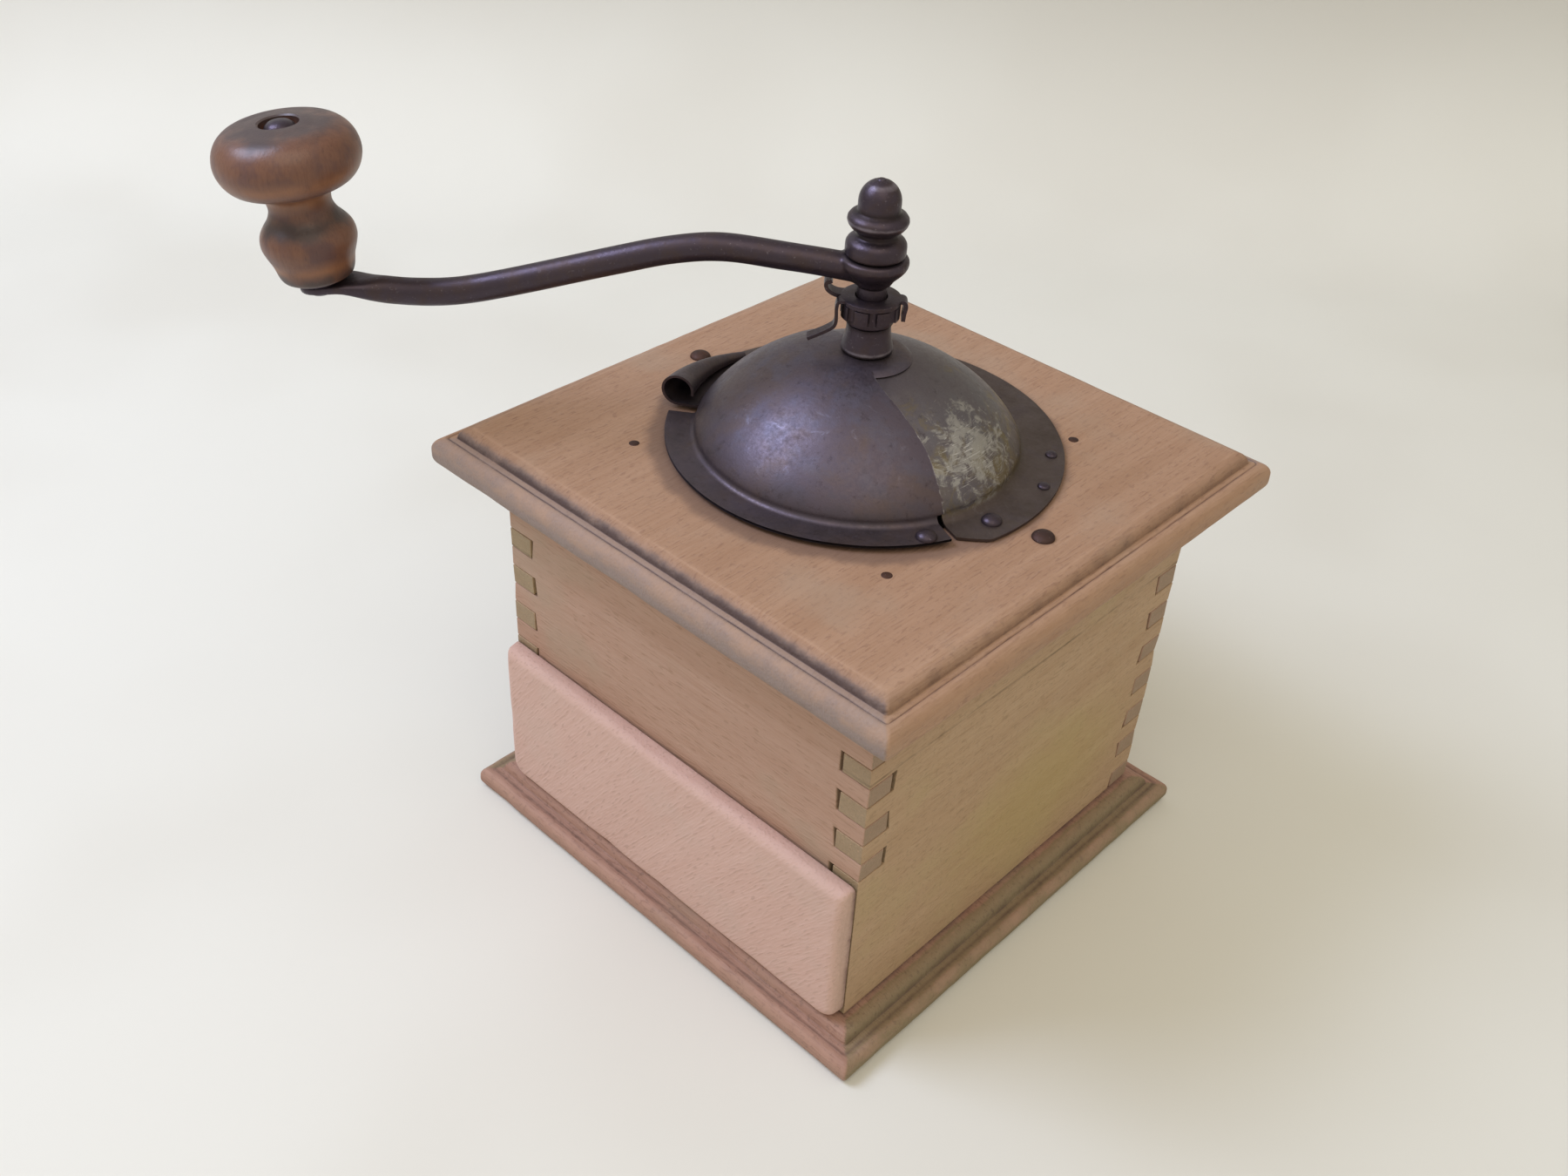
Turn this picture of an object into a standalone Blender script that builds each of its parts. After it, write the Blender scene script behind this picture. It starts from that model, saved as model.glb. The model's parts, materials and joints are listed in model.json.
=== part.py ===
"""Hand crank coffee grinder.

A finger-jointed wooden box with a drawer carries a round hopper dome. One half
of the dome turns as a lid. A spindle through the dome drives a conical burr,
and an S-bent crank with a turned knob drives the spindle.

Metres, +Z up. The origin is the centre of the base board's underside, and the
drawer opens towards -Y.
"""

from math import asin, cos, hypot, pi, radians, sin

import bmesh
import bpy
from mathutils import Vector

MM = 0.001

# Fits
GAP = 0.3 * MM                    # between two pieces that touch
WELD = 0.001 * MM                 # points closer than this are one point
SMOOTH_ANGLE = radians(38)

# Box
BOX_WIDTH = 130.0 * MM
WALL = 8.5 * MM
WALL_HEIGHT = 105.0 * MM
FINGER_COUNT = 17                 # over the full height of a corner
FRONT_FINGER_COUNT = 10           # above the drawer
JOINT_GAP = 0.3 * MM
BLOCK_WIDTH = 22.0 * MM
BLOCK_HEIGHT = 58.0 * MM

# Base board
BASE_THICKNESS = 9.7 * MM
BASE_OVERHANG = 10.5 * MM
BASE_NOSE_HEIGHT = 6.5 * MM
BASE_NOSE_ROUND = 2.6 * MM
BASE_FILLET = 2.0 * MM            # flat step above the nose

# Top board
TOP_THICKNESS = 12.0 * MM
TOP_OVERHANG = 13.7 * MM
TOP_NOSE_HEIGHT = 8.75 * MM
TOP_NOSE_ROUND = 3.4 * MM
TOP_FILLET = 1.4 * MM
TOP_COVE = 3.0 * MM
HOPPER_HOLE_RADIUS = 40.0 * MM
REBATE_RADIUS = 43.5 * MM
REBATE_DEPTH = 1.3 * MM

# Drawer
DRAWER_FRONT_THICKNESS = 5.0 * MM
DRAWER_FRONT_LAP = 4.5 * MM       # above the opening
DRAWER_FRONT_ROUND = 2.7 * MM
DRAWER_PLAY = 0.6 * MM
DRAWER_SIDE = 6.0 * MM
DRAWER_HEIGHT = 39.0 * MM
DRAWER_BOTTOM = 3.0 * MM
DRAWER_GROOVE = 3.0 * MM
DRAWER_GROOVE_LIFT = 2.7 * MM
DRAWER_BACK_CLEARANCE = 4.0 * MM

# Dome
SHEET = 0.7 * MM
DOME_RADIUS = 41.7 * MM
DOME_HEIGHT = 22.4 * MM
DOME_COVE = 2.6 * MM
DOME_FULLNESS = 0.8               # 0.5 is an ellipse, 1 a parabola
FLANGE_RADIUS = 53.5 * MM
DOME_RING_RADIUS = 14.0 * MM      # the sheet is a full ring inside this radius
DOME_STEP = 5                     # degrees
LID_START = -20                   # the seam, in degrees from +X
LID_FLANGE_START = -22
LID_END = -195
LID_FLANGE_END = -145
GRIP_START = -150
FIXED_START = -20
FIXED_END = 175
FIXED_TUCK = 10                   # degrees of fixed dome under the lid's edge
FLANGE_CORNER_CUT = 4.5 * MM
GRIP_RADIUS = 4.4 * MM
GRIP_CENTRE_RADIUS = 49.2 * MM
GRIP_TURN = 285                   # degrees of roll

# Spindle and what it carries
SPINDLE_RADIUS = 3.75 * MM
SPINDLE_SEAT_RADIUS = 3.2 * MM
SPINDLE_STUD_RADIUS = 2.8 * MM
JOURNAL_RADIUS = 3.0 * MM
COLLAR_RADIUS = 6.0 * MM
COLLAR_HEIGHT = 1.5 * MM
SLEEVE_HEIGHT = 7.3 * MM
SLEEVE_FOOT_RADIUS = 6.55 * MM
SLEEVE_TOP_RADIUS = 5.5 * MM
SLEEVE_THREAD_RADIUS = 5.0 * MM
SLEEVE_THREAD_LENGTH = 7.0 * MM
SLEEVE_NUT_RADIUS = 8.5 * MM
SLEEVE_NUT_HEIGHT = 3.2 * MM
NUT_HEIGHT = 5.2 * MM
NUT_RADIUS = 7.45 * MM
NUT_NOTCH_DEPTH = 1.1 * MM
NUT_NOTCHES = 8
NUT_FOOT_RADIUS = 6.1 * MM
NUT_FOOT_HEIGHT = 1.3 * MM
PLATE_THICKNESS = 1.0 * MM
PLATE_RADIUS = 7.5 * MM
LATCH_WIDTH = 3.6 * MM
NECK_HEIGHT = 3.5 * MM            # bare spindle between lock plate and crank
EYE_RADIUS = 8.5 * MM
EYE_FOOT_RADIUS = 4.6 * MM
EYE_HEIGHT = 7.4 * MM

# Acorn nut, from its foot
BELL_RADIUS = 7.5 * MM
BELL_HEIGHT = 3.6 * MM
ACORN_NECK_RADIUS = 5.2 * MM
ACORN_NECK_HEIGHT = 5.1 * MM
BEAD_RADIUS = 7.6 * MM
BEAD_HEIGHT = 5.6 * MM
CAP_RADIUS = 5.2 * MM
CAP_HEIGHT = 8.2 * MM

# Crank arm, in its own plane: distance from the spindle and height of the bar
BAR_RADIUS = 3.45 * MM
CRANK_AZIMUTH = radians(-138.3)
CRANK_REACH = 135.6 * MM
CRANK_PAD_HALF_WIDTH = 5.2 * MM
CRANK_PAD_THICKNESS = 2.6 * MM
CRANK_DROP = 12.6 * MM            # pad below the bar's start
KNOB_LEAN = radians(6.6)

# Knob, from its foot
KNOB_LENGTH = 38.4 * MM
KNOB_FOOT_RADIUS = 8.6 * MM
KNOB_BEAD_RADIUS = 11.5 * MM
KNOB_NECK_RADIUS = 7.6 * MM
KNOB_HEAD_RADIUS = 17.3 * MM
KNOB_RECESS_RADIUS = 4.7 * MM
KNOB_RECESS_DEPTH = 2.6 * MM
PIN_RADIUS = 2.3 * MM
PIN_HEAD_RADIUS = 3.5 * MM
PIN_HEAD_HEIGHT = 2.2 * MM
PIN_TAIL_HEIGHT = 1.4 * MM
WASHER_THICKNESS = 0.5 * MM
WASHER_RADIUS = 6.5 * MM

# Burrs and hopper
BURR_DEPTH = 14.3 * MM            # from the top board's underside to the burr ring's top
BURR_HEIGHT = 15.0 * MM
BURR_RING_RADIUS = 20.0 * MM
BURR_BORE_TOP = 14.5 * MM
BURR_BORE_BOTTOM = 16.5 * MM
BURR_TOOTH = 0.7 * MM
BURR_RING_TEETH = 24
BURR_GAP = 0.7 * MM               # between the burrs' tooth tips at the rim
CONE_TOP_RADIUS = 7.0 * MM
CONE_TEETH = 16
CONE_TWIST = radians(35)
RING_ARM_WIDTH = 12.0 * MM
RING_ARM_HEIGHT = 5.0 * MM
BOWL_SHEET = 1.0 * MM

# Bridge under the burrs
STRAP_WIDTH = 14.0 * MM
STRAP_THICKNESS = 3.0 * MM
STRAP_LEG = 43.0 * MM             # from the axis to a leg's outer face
STRAP_FOOT = 12.0 * MM
STRAP_DEPTH = 39.0 * MM           # crossbar's underside below the top board

# Fasteners
TOP_SCREW_INSET = 5.5 * MM        # from the box's outer face
TOP_SCREW_HEAD = 2.9 * MM
TOP_SCREW_SHANK = 1.6 * MM
TOP_SCREW_LENGTH = 22.0 * MM
TOP_NAIL_INSETS = (               # from the box's outer faces
    (27.0 * MM, 22.0 * MM), (23.0 * MM, 23.0 * MM), (27.5 * MM, 20.5 * MM), (21.0 * MM, 25.5 * MM))
NAIL_HEAD = 1.6 * MM
NAIL_SHANK = 0.9 * MM
NAIL_LENGTH = 24.0 * MM
FLANGE_RIVET_RADIUS = 47.8 * MM
FLANGE_RIVET_ANGLE = radians(-6)
FLANGE_NAIL_RADIUS = 50.0 * MM
FLANGE_NAIL_ANGLES = (20, 38)     # degrees, where the open lid never reaches
LID_STUD_RADIUS = 48.0 * MM
LID_STUD_ANGLE = radians(-29)
STUD_HEAD = 2.7 * MM
BASE_SCREW_HEAD = 3.2 * MM
BASE_SCREW_SHANK = 1.6 * MM
BASE_SCREW_LENGTH = 24.0 * MM
BASE_SCREW_SPACING = 84.0 * MM

# Places that follow from the sizes
CORNERS = ((1, 1), (-1, 1), (-1, -1), (1, -1))
HALF_BOX = BOX_WIDTH / 2
INNER_HALF = HALF_BOX - WALL
WALL_BOTTOM = BASE_THICKNESS + GAP
WALL_TOP = WALL_BOTTOM + WALL_HEIGHT
BOARD_BOTTOM = WALL_TOP + GAP
BOARD_TOP = BOARD_BOTTOM + TOP_THICKNESS
FINGER_PITCH = WALL_HEIGHT / FINGER_COUNT
OPENING_TOP = WALL_TOP - FRONT_FINGER_COUNT * FINGER_PITCH
DRAWER_FRONT_BACK = -HALF_BOX - GAP
FLANGE_Z = BOARD_TOP + GAP + SHEET        # upper face of the fixed flange
LID_OFFSET = GAP + SHEET                  # lid's outer face over the fixed one
SHAFT_HOLE = SPINDLE_RADIUS + GAP
DOME_HOLE = SLEEVE_THREAD_RADIUS + GAP


# ---- small helpers -----------------------------------------------------------

def clear_scene():
    for item in list(bpy.data.objects):
        bpy.data.objects.remove(item, do_unlink=True)


def make_material(name, colour, roughness, metallic=0.0):
    material = bpy.data.materials.new(name)
    material.use_nodes = True
    shader = material.node_tree.nodes["Principled BSDF"]
    shader.inputs["Base Color"].default_value = (*colour, 1.0)
    shader.inputs["Roughness"].default_value = roughness
    shader.inputs["Metallic"].default_value = metallic
    material.diffuse_color = (*colour, 1.0)
    return material


def add_empty(name, parent=None, location=(0, 0, 0), rotation=(0, 0, 0)):
    empty = bpy.data.objects.new(name, None)
    bpy.context.scene.collection.objects.link(empty)
    empty.parent = parent
    empty.location = location
    empty.rotation_euler = rotation
    empty.empty_display_size = 10 * MM
    return empty


def add_object(name, bm, material, parent=None, location=(0, 0, 0), rotation=(0, 0, 0)):
    bmesh.ops.recalc_face_normals(bm, faces=bm.faces)
    mesh = bpy.data.meshes.new(name)
    bm.to_mesh(mesh)
    bm.free()
    mesh.materials.append(material)
    mesh.shade_smooth()
    mesh.set_sharp_from_angle(angle=SMOOTH_ANGLE)
    return add_copy(name, mesh, parent, location, rotation)


def add_copy(name, mesh, parent=None, location=(0, 0, 0), rotation=(0, 0, 0)):
    item = bpy.data.objects.new(name, mesh)
    bpy.context.scene.collection.objects.link(item)
    item.parent = parent
    item.location = location
    item.rotation_euler = rotation
    return item


def combine(target, bm, operation):
    """Boolean the shape in bm, given in the target's own axes, into the target."""
    tool = add_object(target.name + "_tool", bm, target.data.materials[0])
    tool.parent = target.parent
    tool.location = target.location
    tool.rotation_euler = target.rotation_euler
    modifier = target.modifiers.new(operation.lower(), 'BOOLEAN')
    modifier.operation = operation
    modifier.solver = 'EXACT'
    modifier.object = tool
    depsgraph = bpy.context.evaluated_depsgraph_get()
    result = bpy.data.meshes.new_from_object(target.evaluated_get(depsgraph))
    target.modifiers.clear()
    result.shade_smooth()
    result.set_sharp_from_angle(angle=SMOOTH_ANGLE)
    target.data = result
    bpy.data.objects.remove(tool, do_unlink=True)


def arc(centre_r, centre_z, radius, start, end, steps):
    """Points (r, z) on an arc, with start and end in degrees."""
    points = []
    for index in range(steps + 1):
        angle = radians(start + (end - start) * index / steps)
        points.append((centre_r + radius * cos(angle), centre_z + radius * sin(angle)))
    return points


def smooth_line(points, steps):
    """A Catmull-Rom curve through the points, with steps pieces between each two."""
    first = tuple(2 * a - b for a, b in zip(points[0], points[1]))
    last = tuple(2 * a - b for a, b in zip(points[-1], points[-2]))
    padded = [first, *points, last]
    result = []
    for index in range(1, len(padded) - 2):
        before, start, end, after = padded[index - 1:index + 3]
        for step in range(steps):
            t = step / steps
            result.append(tuple(
                0.5 * (2 * s + (e - b) * t + (2 * b - 5 * s + 4 * e - a) * t ** 2
                       + (3 * s - b - 3 * e + a) * t ** 3)
                for b, s, e, a in zip(before, start, end, after)))
    result.append(points[-1])
    return result


def turned(outline, segments):
    """A solid spun round Z from an outline of (radius, height) points."""
    bm = bmesh.new()
    verts = [bm.verts.new((r, 0, z)) for r, z in outline]
    edges = [bm.edges.new(pair) for pair in zip(verts, verts[1:])]
    if outline[0][0] > WELD or outline[-1][0] > WELD:
        edges.append(bm.edges.new((verts[-1], verts[0])))
    bmesh.ops.spin(bm, geom=verts + edges, axis=(0, 0, 1), cent=(0, 0, 0),
                   angle=2 * pi, steps=segments, use_merge=True)
    bmesh.ops.remove_doubles(bm, verts=bm.verts, dist=WELD)
    return bm


def lofted(rings, closed=False):
    """A solid through rings of points: capped at both ends, or closed on itself."""
    bm = bmesh.new()
    loops = [[bm.verts.new(point) for point in ring] for ring in rings]
    following = loops[1:] + ([loops[0]] if closed else [])
    for lower, upper in zip(loops, following):
        for index, vert in enumerate(lower):
            after = (index + 1) % len(lower)
            bm.faces.new((vert, lower[after], upper[after], upper[index]))
    if not closed:
        bm.faces.new(loops[0])
        bm.faces.new(loops[-1])
    return bm


def prism(corners, sweep):
    """A solid from a flat outline of 3-D points, pushed along the sweep vector."""
    far = [Vector(point) + Vector(sweep) for point in corners]
    return lofted([corners, far])


def block(low, high):
    corners = [(low[0], low[1], low[2]), (high[0], low[1], low[2]),
               (high[0], high[1], low[2]), (low[0], high[1], low[2])]
    return prism(corners, (0, 0, high[2] - low[2]))


def rod(x, y, z_low, z_high, radius, segments=16):
    ring = [(x + radius * cos(2 * pi * k / segments), y + radius * sin(2 * pi * k / segments), z_low)
            for k in range(segments)]
    return prism(ring, (0, 0, z_high - z_low))


def drill(target, holes):
    """Cut upright holes (x, y, z_low, z_high, radius) that don't cross each other."""
    tool = bmesh.new()
    for hole in holes:
        piece = rod(*hole)
        scrap = bpy.data.meshes.new("hole")
        piece.to_mesh(scrap)
        piece.free()
        tool.from_mesh(scrap)
        bpy.data.meshes.remove(scrap)
    combine(target, tool, 'DIFFERENCE')


def bent_strip(path, thickness, side_low, side_high):
    """A strip bent along (x, z) points, as wide as the two y values are apart."""
    left = []
    right = []
    for index, point in enumerate(path):
        here = Vector(point)
        ahead = (Vector(path[min(index + 1, len(path) - 1)]) - here)
        behind = (here - Vector(path[max(index - 1, 0)]))
        ahead = (ahead if ahead.length else behind).normalized()
        behind = (behind if behind.length else ahead).normalized()
        normal = Vector((-(ahead.y + behind.y), ahead.x + behind.x)).normalized()
        reach = thickness / 2 / normal.dot(Vector((-ahead.y, ahead.x)))
        left.append(here + normal * reach)
        right.append(here - normal * reach)
    outline = [(p.x, side_low, p.y) for p in left + right[::-1]]
    return prism(outline, (0, side_high - side_low, 0))


# ---- box ---------------------------------------------------------------------

def square_board(outline, material, name):
    """A square board whose edge follows (half width, z) points from bottom to top."""
    rings = [[(h, h, z), (-h, h, z), (-h, -h, z), (h, -h, z)] for h, z in outline]
    return add_object(name, lofted(rings), material)


def nose(half, bottom, height, round_radius, steps=4):
    """The rounded lower edge of a moulded board."""
    centre = half - round_radius
    lower = arc(centre, bottom + round_radius, round_radius, -70, 0, steps)
    upper = arc(centre, bottom + height - round_radius, round_radius, 0, 70, steps)
    foot = half - 1.2 * round_radius
    return [(foot, bottom), *lower, *upper, (foot, bottom + height)]


def base_screw_places():
    return [(sx * (HALF_BOX - WALL / 2), sy * BASE_SCREW_SPACING / 2) for sx, sy in CORNERS]


def make_base_board(wood):
    half = HALF_BOX + BASE_OVERHANG
    shoulder = half - 1.2 * BASE_NOSE_ROUND - BASE_FILLET
    rise = BASE_THICKNESS - BASE_NOSE_HEIGHT
    ovolo = arc(shoulder - rise, BASE_NOSE_HEIGHT, rise, 0, 90, 4)
    outline = nose(half, 0, BASE_NOSE_HEIGHT, BASE_NOSE_ROUND) + ovolo
    board = square_board(outline, wood, "base_board")
    sink = BASE_SCREW_HEAD - BASE_SCREW_SHANK
    for x, y in base_screw_places():
        cone = turned([(0, -GAP), (BASE_SCREW_HEAD + 2 * GAP, -GAP),
                       (BASE_SCREW_SHANK + GAP, sink + GAP),
                       (BASE_SCREW_SHANK + GAP, BASE_THICKNESS + GAP),
                       (0, BASE_THICKNESS + GAP)], 16)
        bmesh.ops.translate(cone, verts=cone.verts, vec=(x, y, 0))
        combine(board, cone, 'DIFFERENCE')
    return board


def finger_edge(count, starts_with_finger, tip, root, bottom):
    """Points down a finger-jointed end, from the wall's top to the given bottom."""
    points = []
    for index in range(count):
        is_finger = (index % 2 == 0) == starts_with_finger
        u = tip if is_finger else root
        shift = JOINT_GAP / 2 if is_finger else -JOINT_GAP / 2
        high = WALL_TOP - index * FINGER_PITCH - (shift if index else 0)
        low = WALL_TOP - (index + 1) * FINGER_PITCH + shift
        points += [(u, high), (u, low)]
    points[-1] = (points[-1][0], bottom)
    return points


def make_side_panel(name, side, wood):
    """side is +1 for the panel at +X and -1 for the one at -X."""
    tip = HALF_BOX
    root = INNER_HALF - GAP
    back = finger_edge(FINGER_COUNT, False, tip, root, WALL_BOTTOM)
    front = finger_edge(FRONT_FINGER_COUNT, False, -tip, -root, WALL_BOTTOM)
    outline = [(side * INNER_HALF, y, z) for y, z in back + front[::-1]]
    panel = add_object(name, prism(outline, (side * WALL, 0, 0)), wood)
    holes = [(side * (HALF_BOX - TOP_SCREW_INSET), 0,
              BOARD_TOP - TOP_SCREW_LENGTH - GAP, WALL_TOP + GAP, TOP_SCREW_SHANK + GAP)]
    for x, y in base_screw_places():
        if x * side > 0:
            holes.append((x, y, 0, BASE_SCREW_LENGTH + GAP, BASE_SCREW_SHANK + GAP))
    drill(panel, holes)
    return panel


def make_cross_panel(name, side, count, bottom, wood):
    """The front panel (side -1) or the back panel (side +1)."""
    right = finger_edge(count, True, HALF_BOX, INNER_HALF - GAP, bottom)
    left = [(-x, z) for x, z in right]
    outline = [(x, side * INNER_HALF, z) for x, z in right + left[::-1]]
    return add_object(name, prism(outline, (0, side * WALL, 0)), wood)


def make_corner_blocks(wood):
    high = INNER_HALF - GAP
    low = high - BLOCK_WIDTH
    top = BOARD_BOTTOM - GAP
    for number, (sx, sy) in enumerate(CORNERS, 1):
        xs = sorted((sx * low, sx * high))
        ys = sorted((sy * low, sy * high))
        item = add_object(f"corner_block_{number}",
                          block((xs[0], ys[0], top - BLOCK_HEIGHT), (xs[1], ys[1], top)), wood)
        x, y = top_nail_places()[number - 1]
        drill(item, [(x, y, BOARD_TOP - NAIL_LENGTH - GAP, top + GAP, NAIL_SHANK + GAP)])


def top_nail_places():
    return [(sx * (HALF_BOX - x), sy * (HALF_BOX - y))
            for (sx, sy), (x, y) in zip(CORNERS, TOP_NAIL_INSETS)]


def flange_pin_places():
    """Places (x, y) of the pins that hold the fixed flange to the board."""
    angles = [FLANGE_RIVET_ANGLE] + [radians(a) for a in FLANGE_NAIL_ANGLES]
    radii = [FLANGE_RIVET_RADIUS] + [FLANGE_NAIL_RADIUS] * len(FLANGE_NAIL_ANGLES)
    return [(r * cos(a), r * sin(a)) for r, a in zip(radii, angles)]


def bridge_screw_places():
    return [(0, side * (STRAP_LEG + STRAP_FOOT / 2)) for side in (1, -1)]


def make_top_board(wood):
    half = HALF_BOX + TOP_OVERHANG
    shoulder = half - 1.2 * TOP_NOSE_ROUND + TOP_FILLET / 2
    rise = TOP_THICKNESS - TOP_NOSE_HEIGHT
    edge = nose(half, BOARD_BOTTOM, TOP_NOSE_HEIGHT, TOP_NOSE_ROUND)
    step = BOARD_BOTTOM + TOP_NOSE_HEIGHT
    cove = arc(shoulder - TOP_FILLET - TOP_COVE, step, TOP_COVE, 0, 90, 4)
    cove = [(r, step + (z - step) * rise / TOP_COVE) for r, z in cove]
    board = square_board(edge[:-1] + [(shoulder - TOP_FILLET / 2, step)] + cove, wood, "top_board")
    combine(board, rod(0, 0, BOARD_BOTTOM - GAP, BOARD_TOP + GAP, HOPPER_HOLE_RADIUS, 72), 'DIFFERENCE')
    combine(board, rod(0, 0, BOARD_TOP - REBATE_DEPTH, BOARD_TOP + GAP, REBATE_RADIUS, 72), 'DIFFERENCE')
    through = (BOARD_BOTTOM - GAP, BOARD_TOP + GAP)
    holes = [(side * (HALF_BOX - TOP_SCREW_INSET), 0, *through, TOP_SCREW_SHANK + GAP)
             for side in (1, -1)]
    holes += [(x, y, *through, NAIL_SHANK + GAP) for x, y in top_nail_places()]
    holes += [(x, y, *through, NAIL_SHANK + GAP) for x, y in flange_pin_places()]
    holes += [(x, y, BOARD_BOTTOM - GAP, BOARD_BOTTOM + TOP_THICKNESS * 0.6, TOP_SCREW_SHANK + GAP)
              for x, y in bridge_screw_places()]
    drill(board, holes)
    drill(board, [(x, y, BOARD_TOP - NAIL_HEAD / 2, BOARD_TOP + GAP, NAIL_HEAD + GAP)
                  for x, y in top_nail_places()])
    return board


# ---- drawer ------------------------------------------------------------------

def make_drawer(parent, front_wood, tray_wood):
    bottom = WALL_BOTTOM
    top = OPENING_TOP + DRAWER_FRONT_LAP
    middle = (bottom + top) / 2
    half_height = (top - bottom) / 2
    back = DRAWER_FRONT_BACK
    face = back - DRAWER_FRONT_THICKNESS
    edge = arc(HALF_BOX - DRAWER_FRONT_ROUND, face + DRAWER_FRONT_ROUND, DRAWER_FRONT_ROUND, 0, -90, 5)
    rings = []
    for reach, y in [(HALF_BOX, back), *edge]:
        rise = half_height - (HALF_BOX - reach)
        rings.append([(reach, y, middle + rise), (-reach, y, middle + rise),
                      (-reach, y, middle - rise), (reach, y, middle - rise)])
    add_object("drawer_front", lofted(rings), front_wood, parent)

    outer = INNER_HALF - DRAWER_PLAY
    inner = outer - DRAWER_SIDE
    low = BASE_THICKNESS + DRAWER_PLAY
    high = low + DRAWER_HEIGHT
    near = back + GAP
    far = INNER_HALF - DRAWER_BACK_CLEARANCE
    groove_low = low + DRAWER_GROOVE_LIFT
    groove_high = groove_low + DRAWER_BOTTOM + 2 * GAP
    groove = inner + DRAWER_GROOVE + GAP
    section = [(outer, low), (outer, high), (inner, high), (inner, groove_high),
               (groove, groove_high), (groove, groove_low), (inner, groove_low), (inner, low)]
    for name, side in (("drawer_right_side", 1), ("drawer_left_side", -1)):
        outline = [(side * x, near, z) for x, z in section]
        add_object(name, prism(outline, (0, far - near, 0)), tray_wood, parent)
    floor = groove_low + GAP
    add_object("drawer_bottom", block((-inner - DRAWER_GROOVE, near, floor),
                                      (inner + DRAWER_GROOVE, far, floor + DRAWER_BOTTOM)),
               tray_wood, parent)
    add_object("drawer_back", block((-inner + GAP, far - DRAWER_SIDE, floor + DRAWER_BOTTOM + GAP),
                                    (inner - GAP, far, high)), tray_wood, parent)


# ---- dome --------------------------------------------------------------------

CROWN_ROWS = 2
DOME_ROWS = 8
COVE_ROWS = 4


def dome_line(offset):
    """The dome's meridian from its hole to its flange's rim, this far outside the
    fixed shell's outer face."""
    foot = FLANGE_Z + DOME_COVE
    hole_angle = asin(DOME_HOLE / DOME_RADIUS)
    ring_angle = asin(DOME_RING_RADIUS / DOME_RADIUS)
    angles = [hole_angle + (ring_angle - hole_angle) * k / CROWN_ROWS for k in range(CROWN_ROWS)]
    angles += [ring_angle + (pi / 2 - ring_angle) * k / DOME_ROWS for k in range(DOME_ROWS)]
    line = []
    for t in angles:
        across = DOME_RADIUS * cos(t)
        down = 2 * DOME_FULLNESS * DOME_HEIGHT * cos(t) ** (2 * DOME_FULLNESS - 1) * sin(t)
        steep = hypot(across, down)
        r = DOME_RADIUS * sin(t) + offset * down / steep
        z = foot + DOME_HEIGHT * cos(t) ** (2 * DOME_FULLNESS) + offset * across / steep
        line.append((r, z))
    line[0] = (DOME_HOLE, line[0][1])
    cove = arc(DOME_RADIUS + DOME_COVE, foot, DOME_COVE - offset, 180, 270, COVE_ROWS)
    return line + cove + [(FLANGE_RADIUS, FLANGE_Z + offset)]


def crown_z(offset, radius):
    """Height of the dome's face this far from the axis, near its hole."""
    line = dome_line(offset)
    for (r0, z0), (r1, z1) in zip(line, line[1:]):
        if radius <= r1:
            return z0 + (z1 - z0) * (radius - r0) / (r1 - r0)
    return line[-1][1]


def sheet_body(cells, place):
    """A closed sheet: cells are quads of keys, place(key, side) gives each face's point."""
    bm = bmesh.new()
    verts = {}
    edges = {}
    for cell in cells:
        for key in cell:
            if key not in verts:
                verts[key] = [bm.verts.new(place(key, side)) for side in (0, 1)]
        bm.faces.new([verts[key][0] for key in cell])
        bm.faces.new([verts[key][1] for key in reversed(cell)])
        for start, end in zip(cell, cell[1:] + cell[:1]):
            if (end, start) in edges:
                del edges[(end, start)]
            else:
                edges[(start, end)] = True
    for start, end in edges:
        bm.faces.new((verts[end][0], verts[start][0], verts[start][1], verts[end][1]))
    return bm


FOOT_ROW = CROWN_ROWS + DOME_ROWS             # where the dome meets its cove
RIM_ROW = FOOT_ROW + COVE_ROWS + 1            # the flange's outer edge


def dome_cells(dome_range, flange_range):
    """Quads of (angle, row) keys for a shell's crown ring, its dome and its flange."""
    cells = []
    for angle in range(0, 360, DOME_STEP):
        in_dome = (angle - dome_range[0]) % 360 < dome_range[1] - dome_range[0]
        in_flange = (angle - flange_range[0]) % 360 < flange_range[1] - flange_range[0]
        for row in range(RIM_ROW):
            if row < CROWN_ROWS or (in_dome if row < FOOT_ROW else in_flange):
                after = (angle + DOME_STEP) % 360
                cells.append([(angle, row), (angle, row + 1), (after, row + 1), (after, row)])
    return cells


def polar(r, angle, z):
    return (r * cos(radians(angle)), r * sin(radians(angle)), z)


def make_fixed_shell(metal):
    faces = (dome_line(0), dome_line(-SHEET))
    cells = dome_cells((FIXED_START - FIXED_TUCK, FIXED_END), (FIXED_START, FIXED_END))

    def place(key, side):
        angle, row = key
        r, z = faces[side][row]
        if row == RIM_ROW and angle == FIXED_START % 360:
            r -= FLANGE_CORNER_CUT
        return polar(r, angle, z)

    shell = add_object("dome_fixed_shell", sheet_body(cells, place), metal)
    drill(shell, [(x, y, BOARD_TOP, FLANGE_Z + 2 * GAP, NAIL_SHANK + GAP)
                  for x, y in flange_pin_places()])
    return shell


def grip_line(side):
    """The rolled edge in section: rows after the dome's cove."""
    radius = GRIP_RADIUS if side else GRIP_RADIUS - SHEET
    centre_z = FLANGE_Z + GAP + GRIP_RADIUS
    return arc(GRIP_CENTRE_RADIUS, centre_z, radius, -90, -90 + GRIP_TURN, 14)


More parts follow.
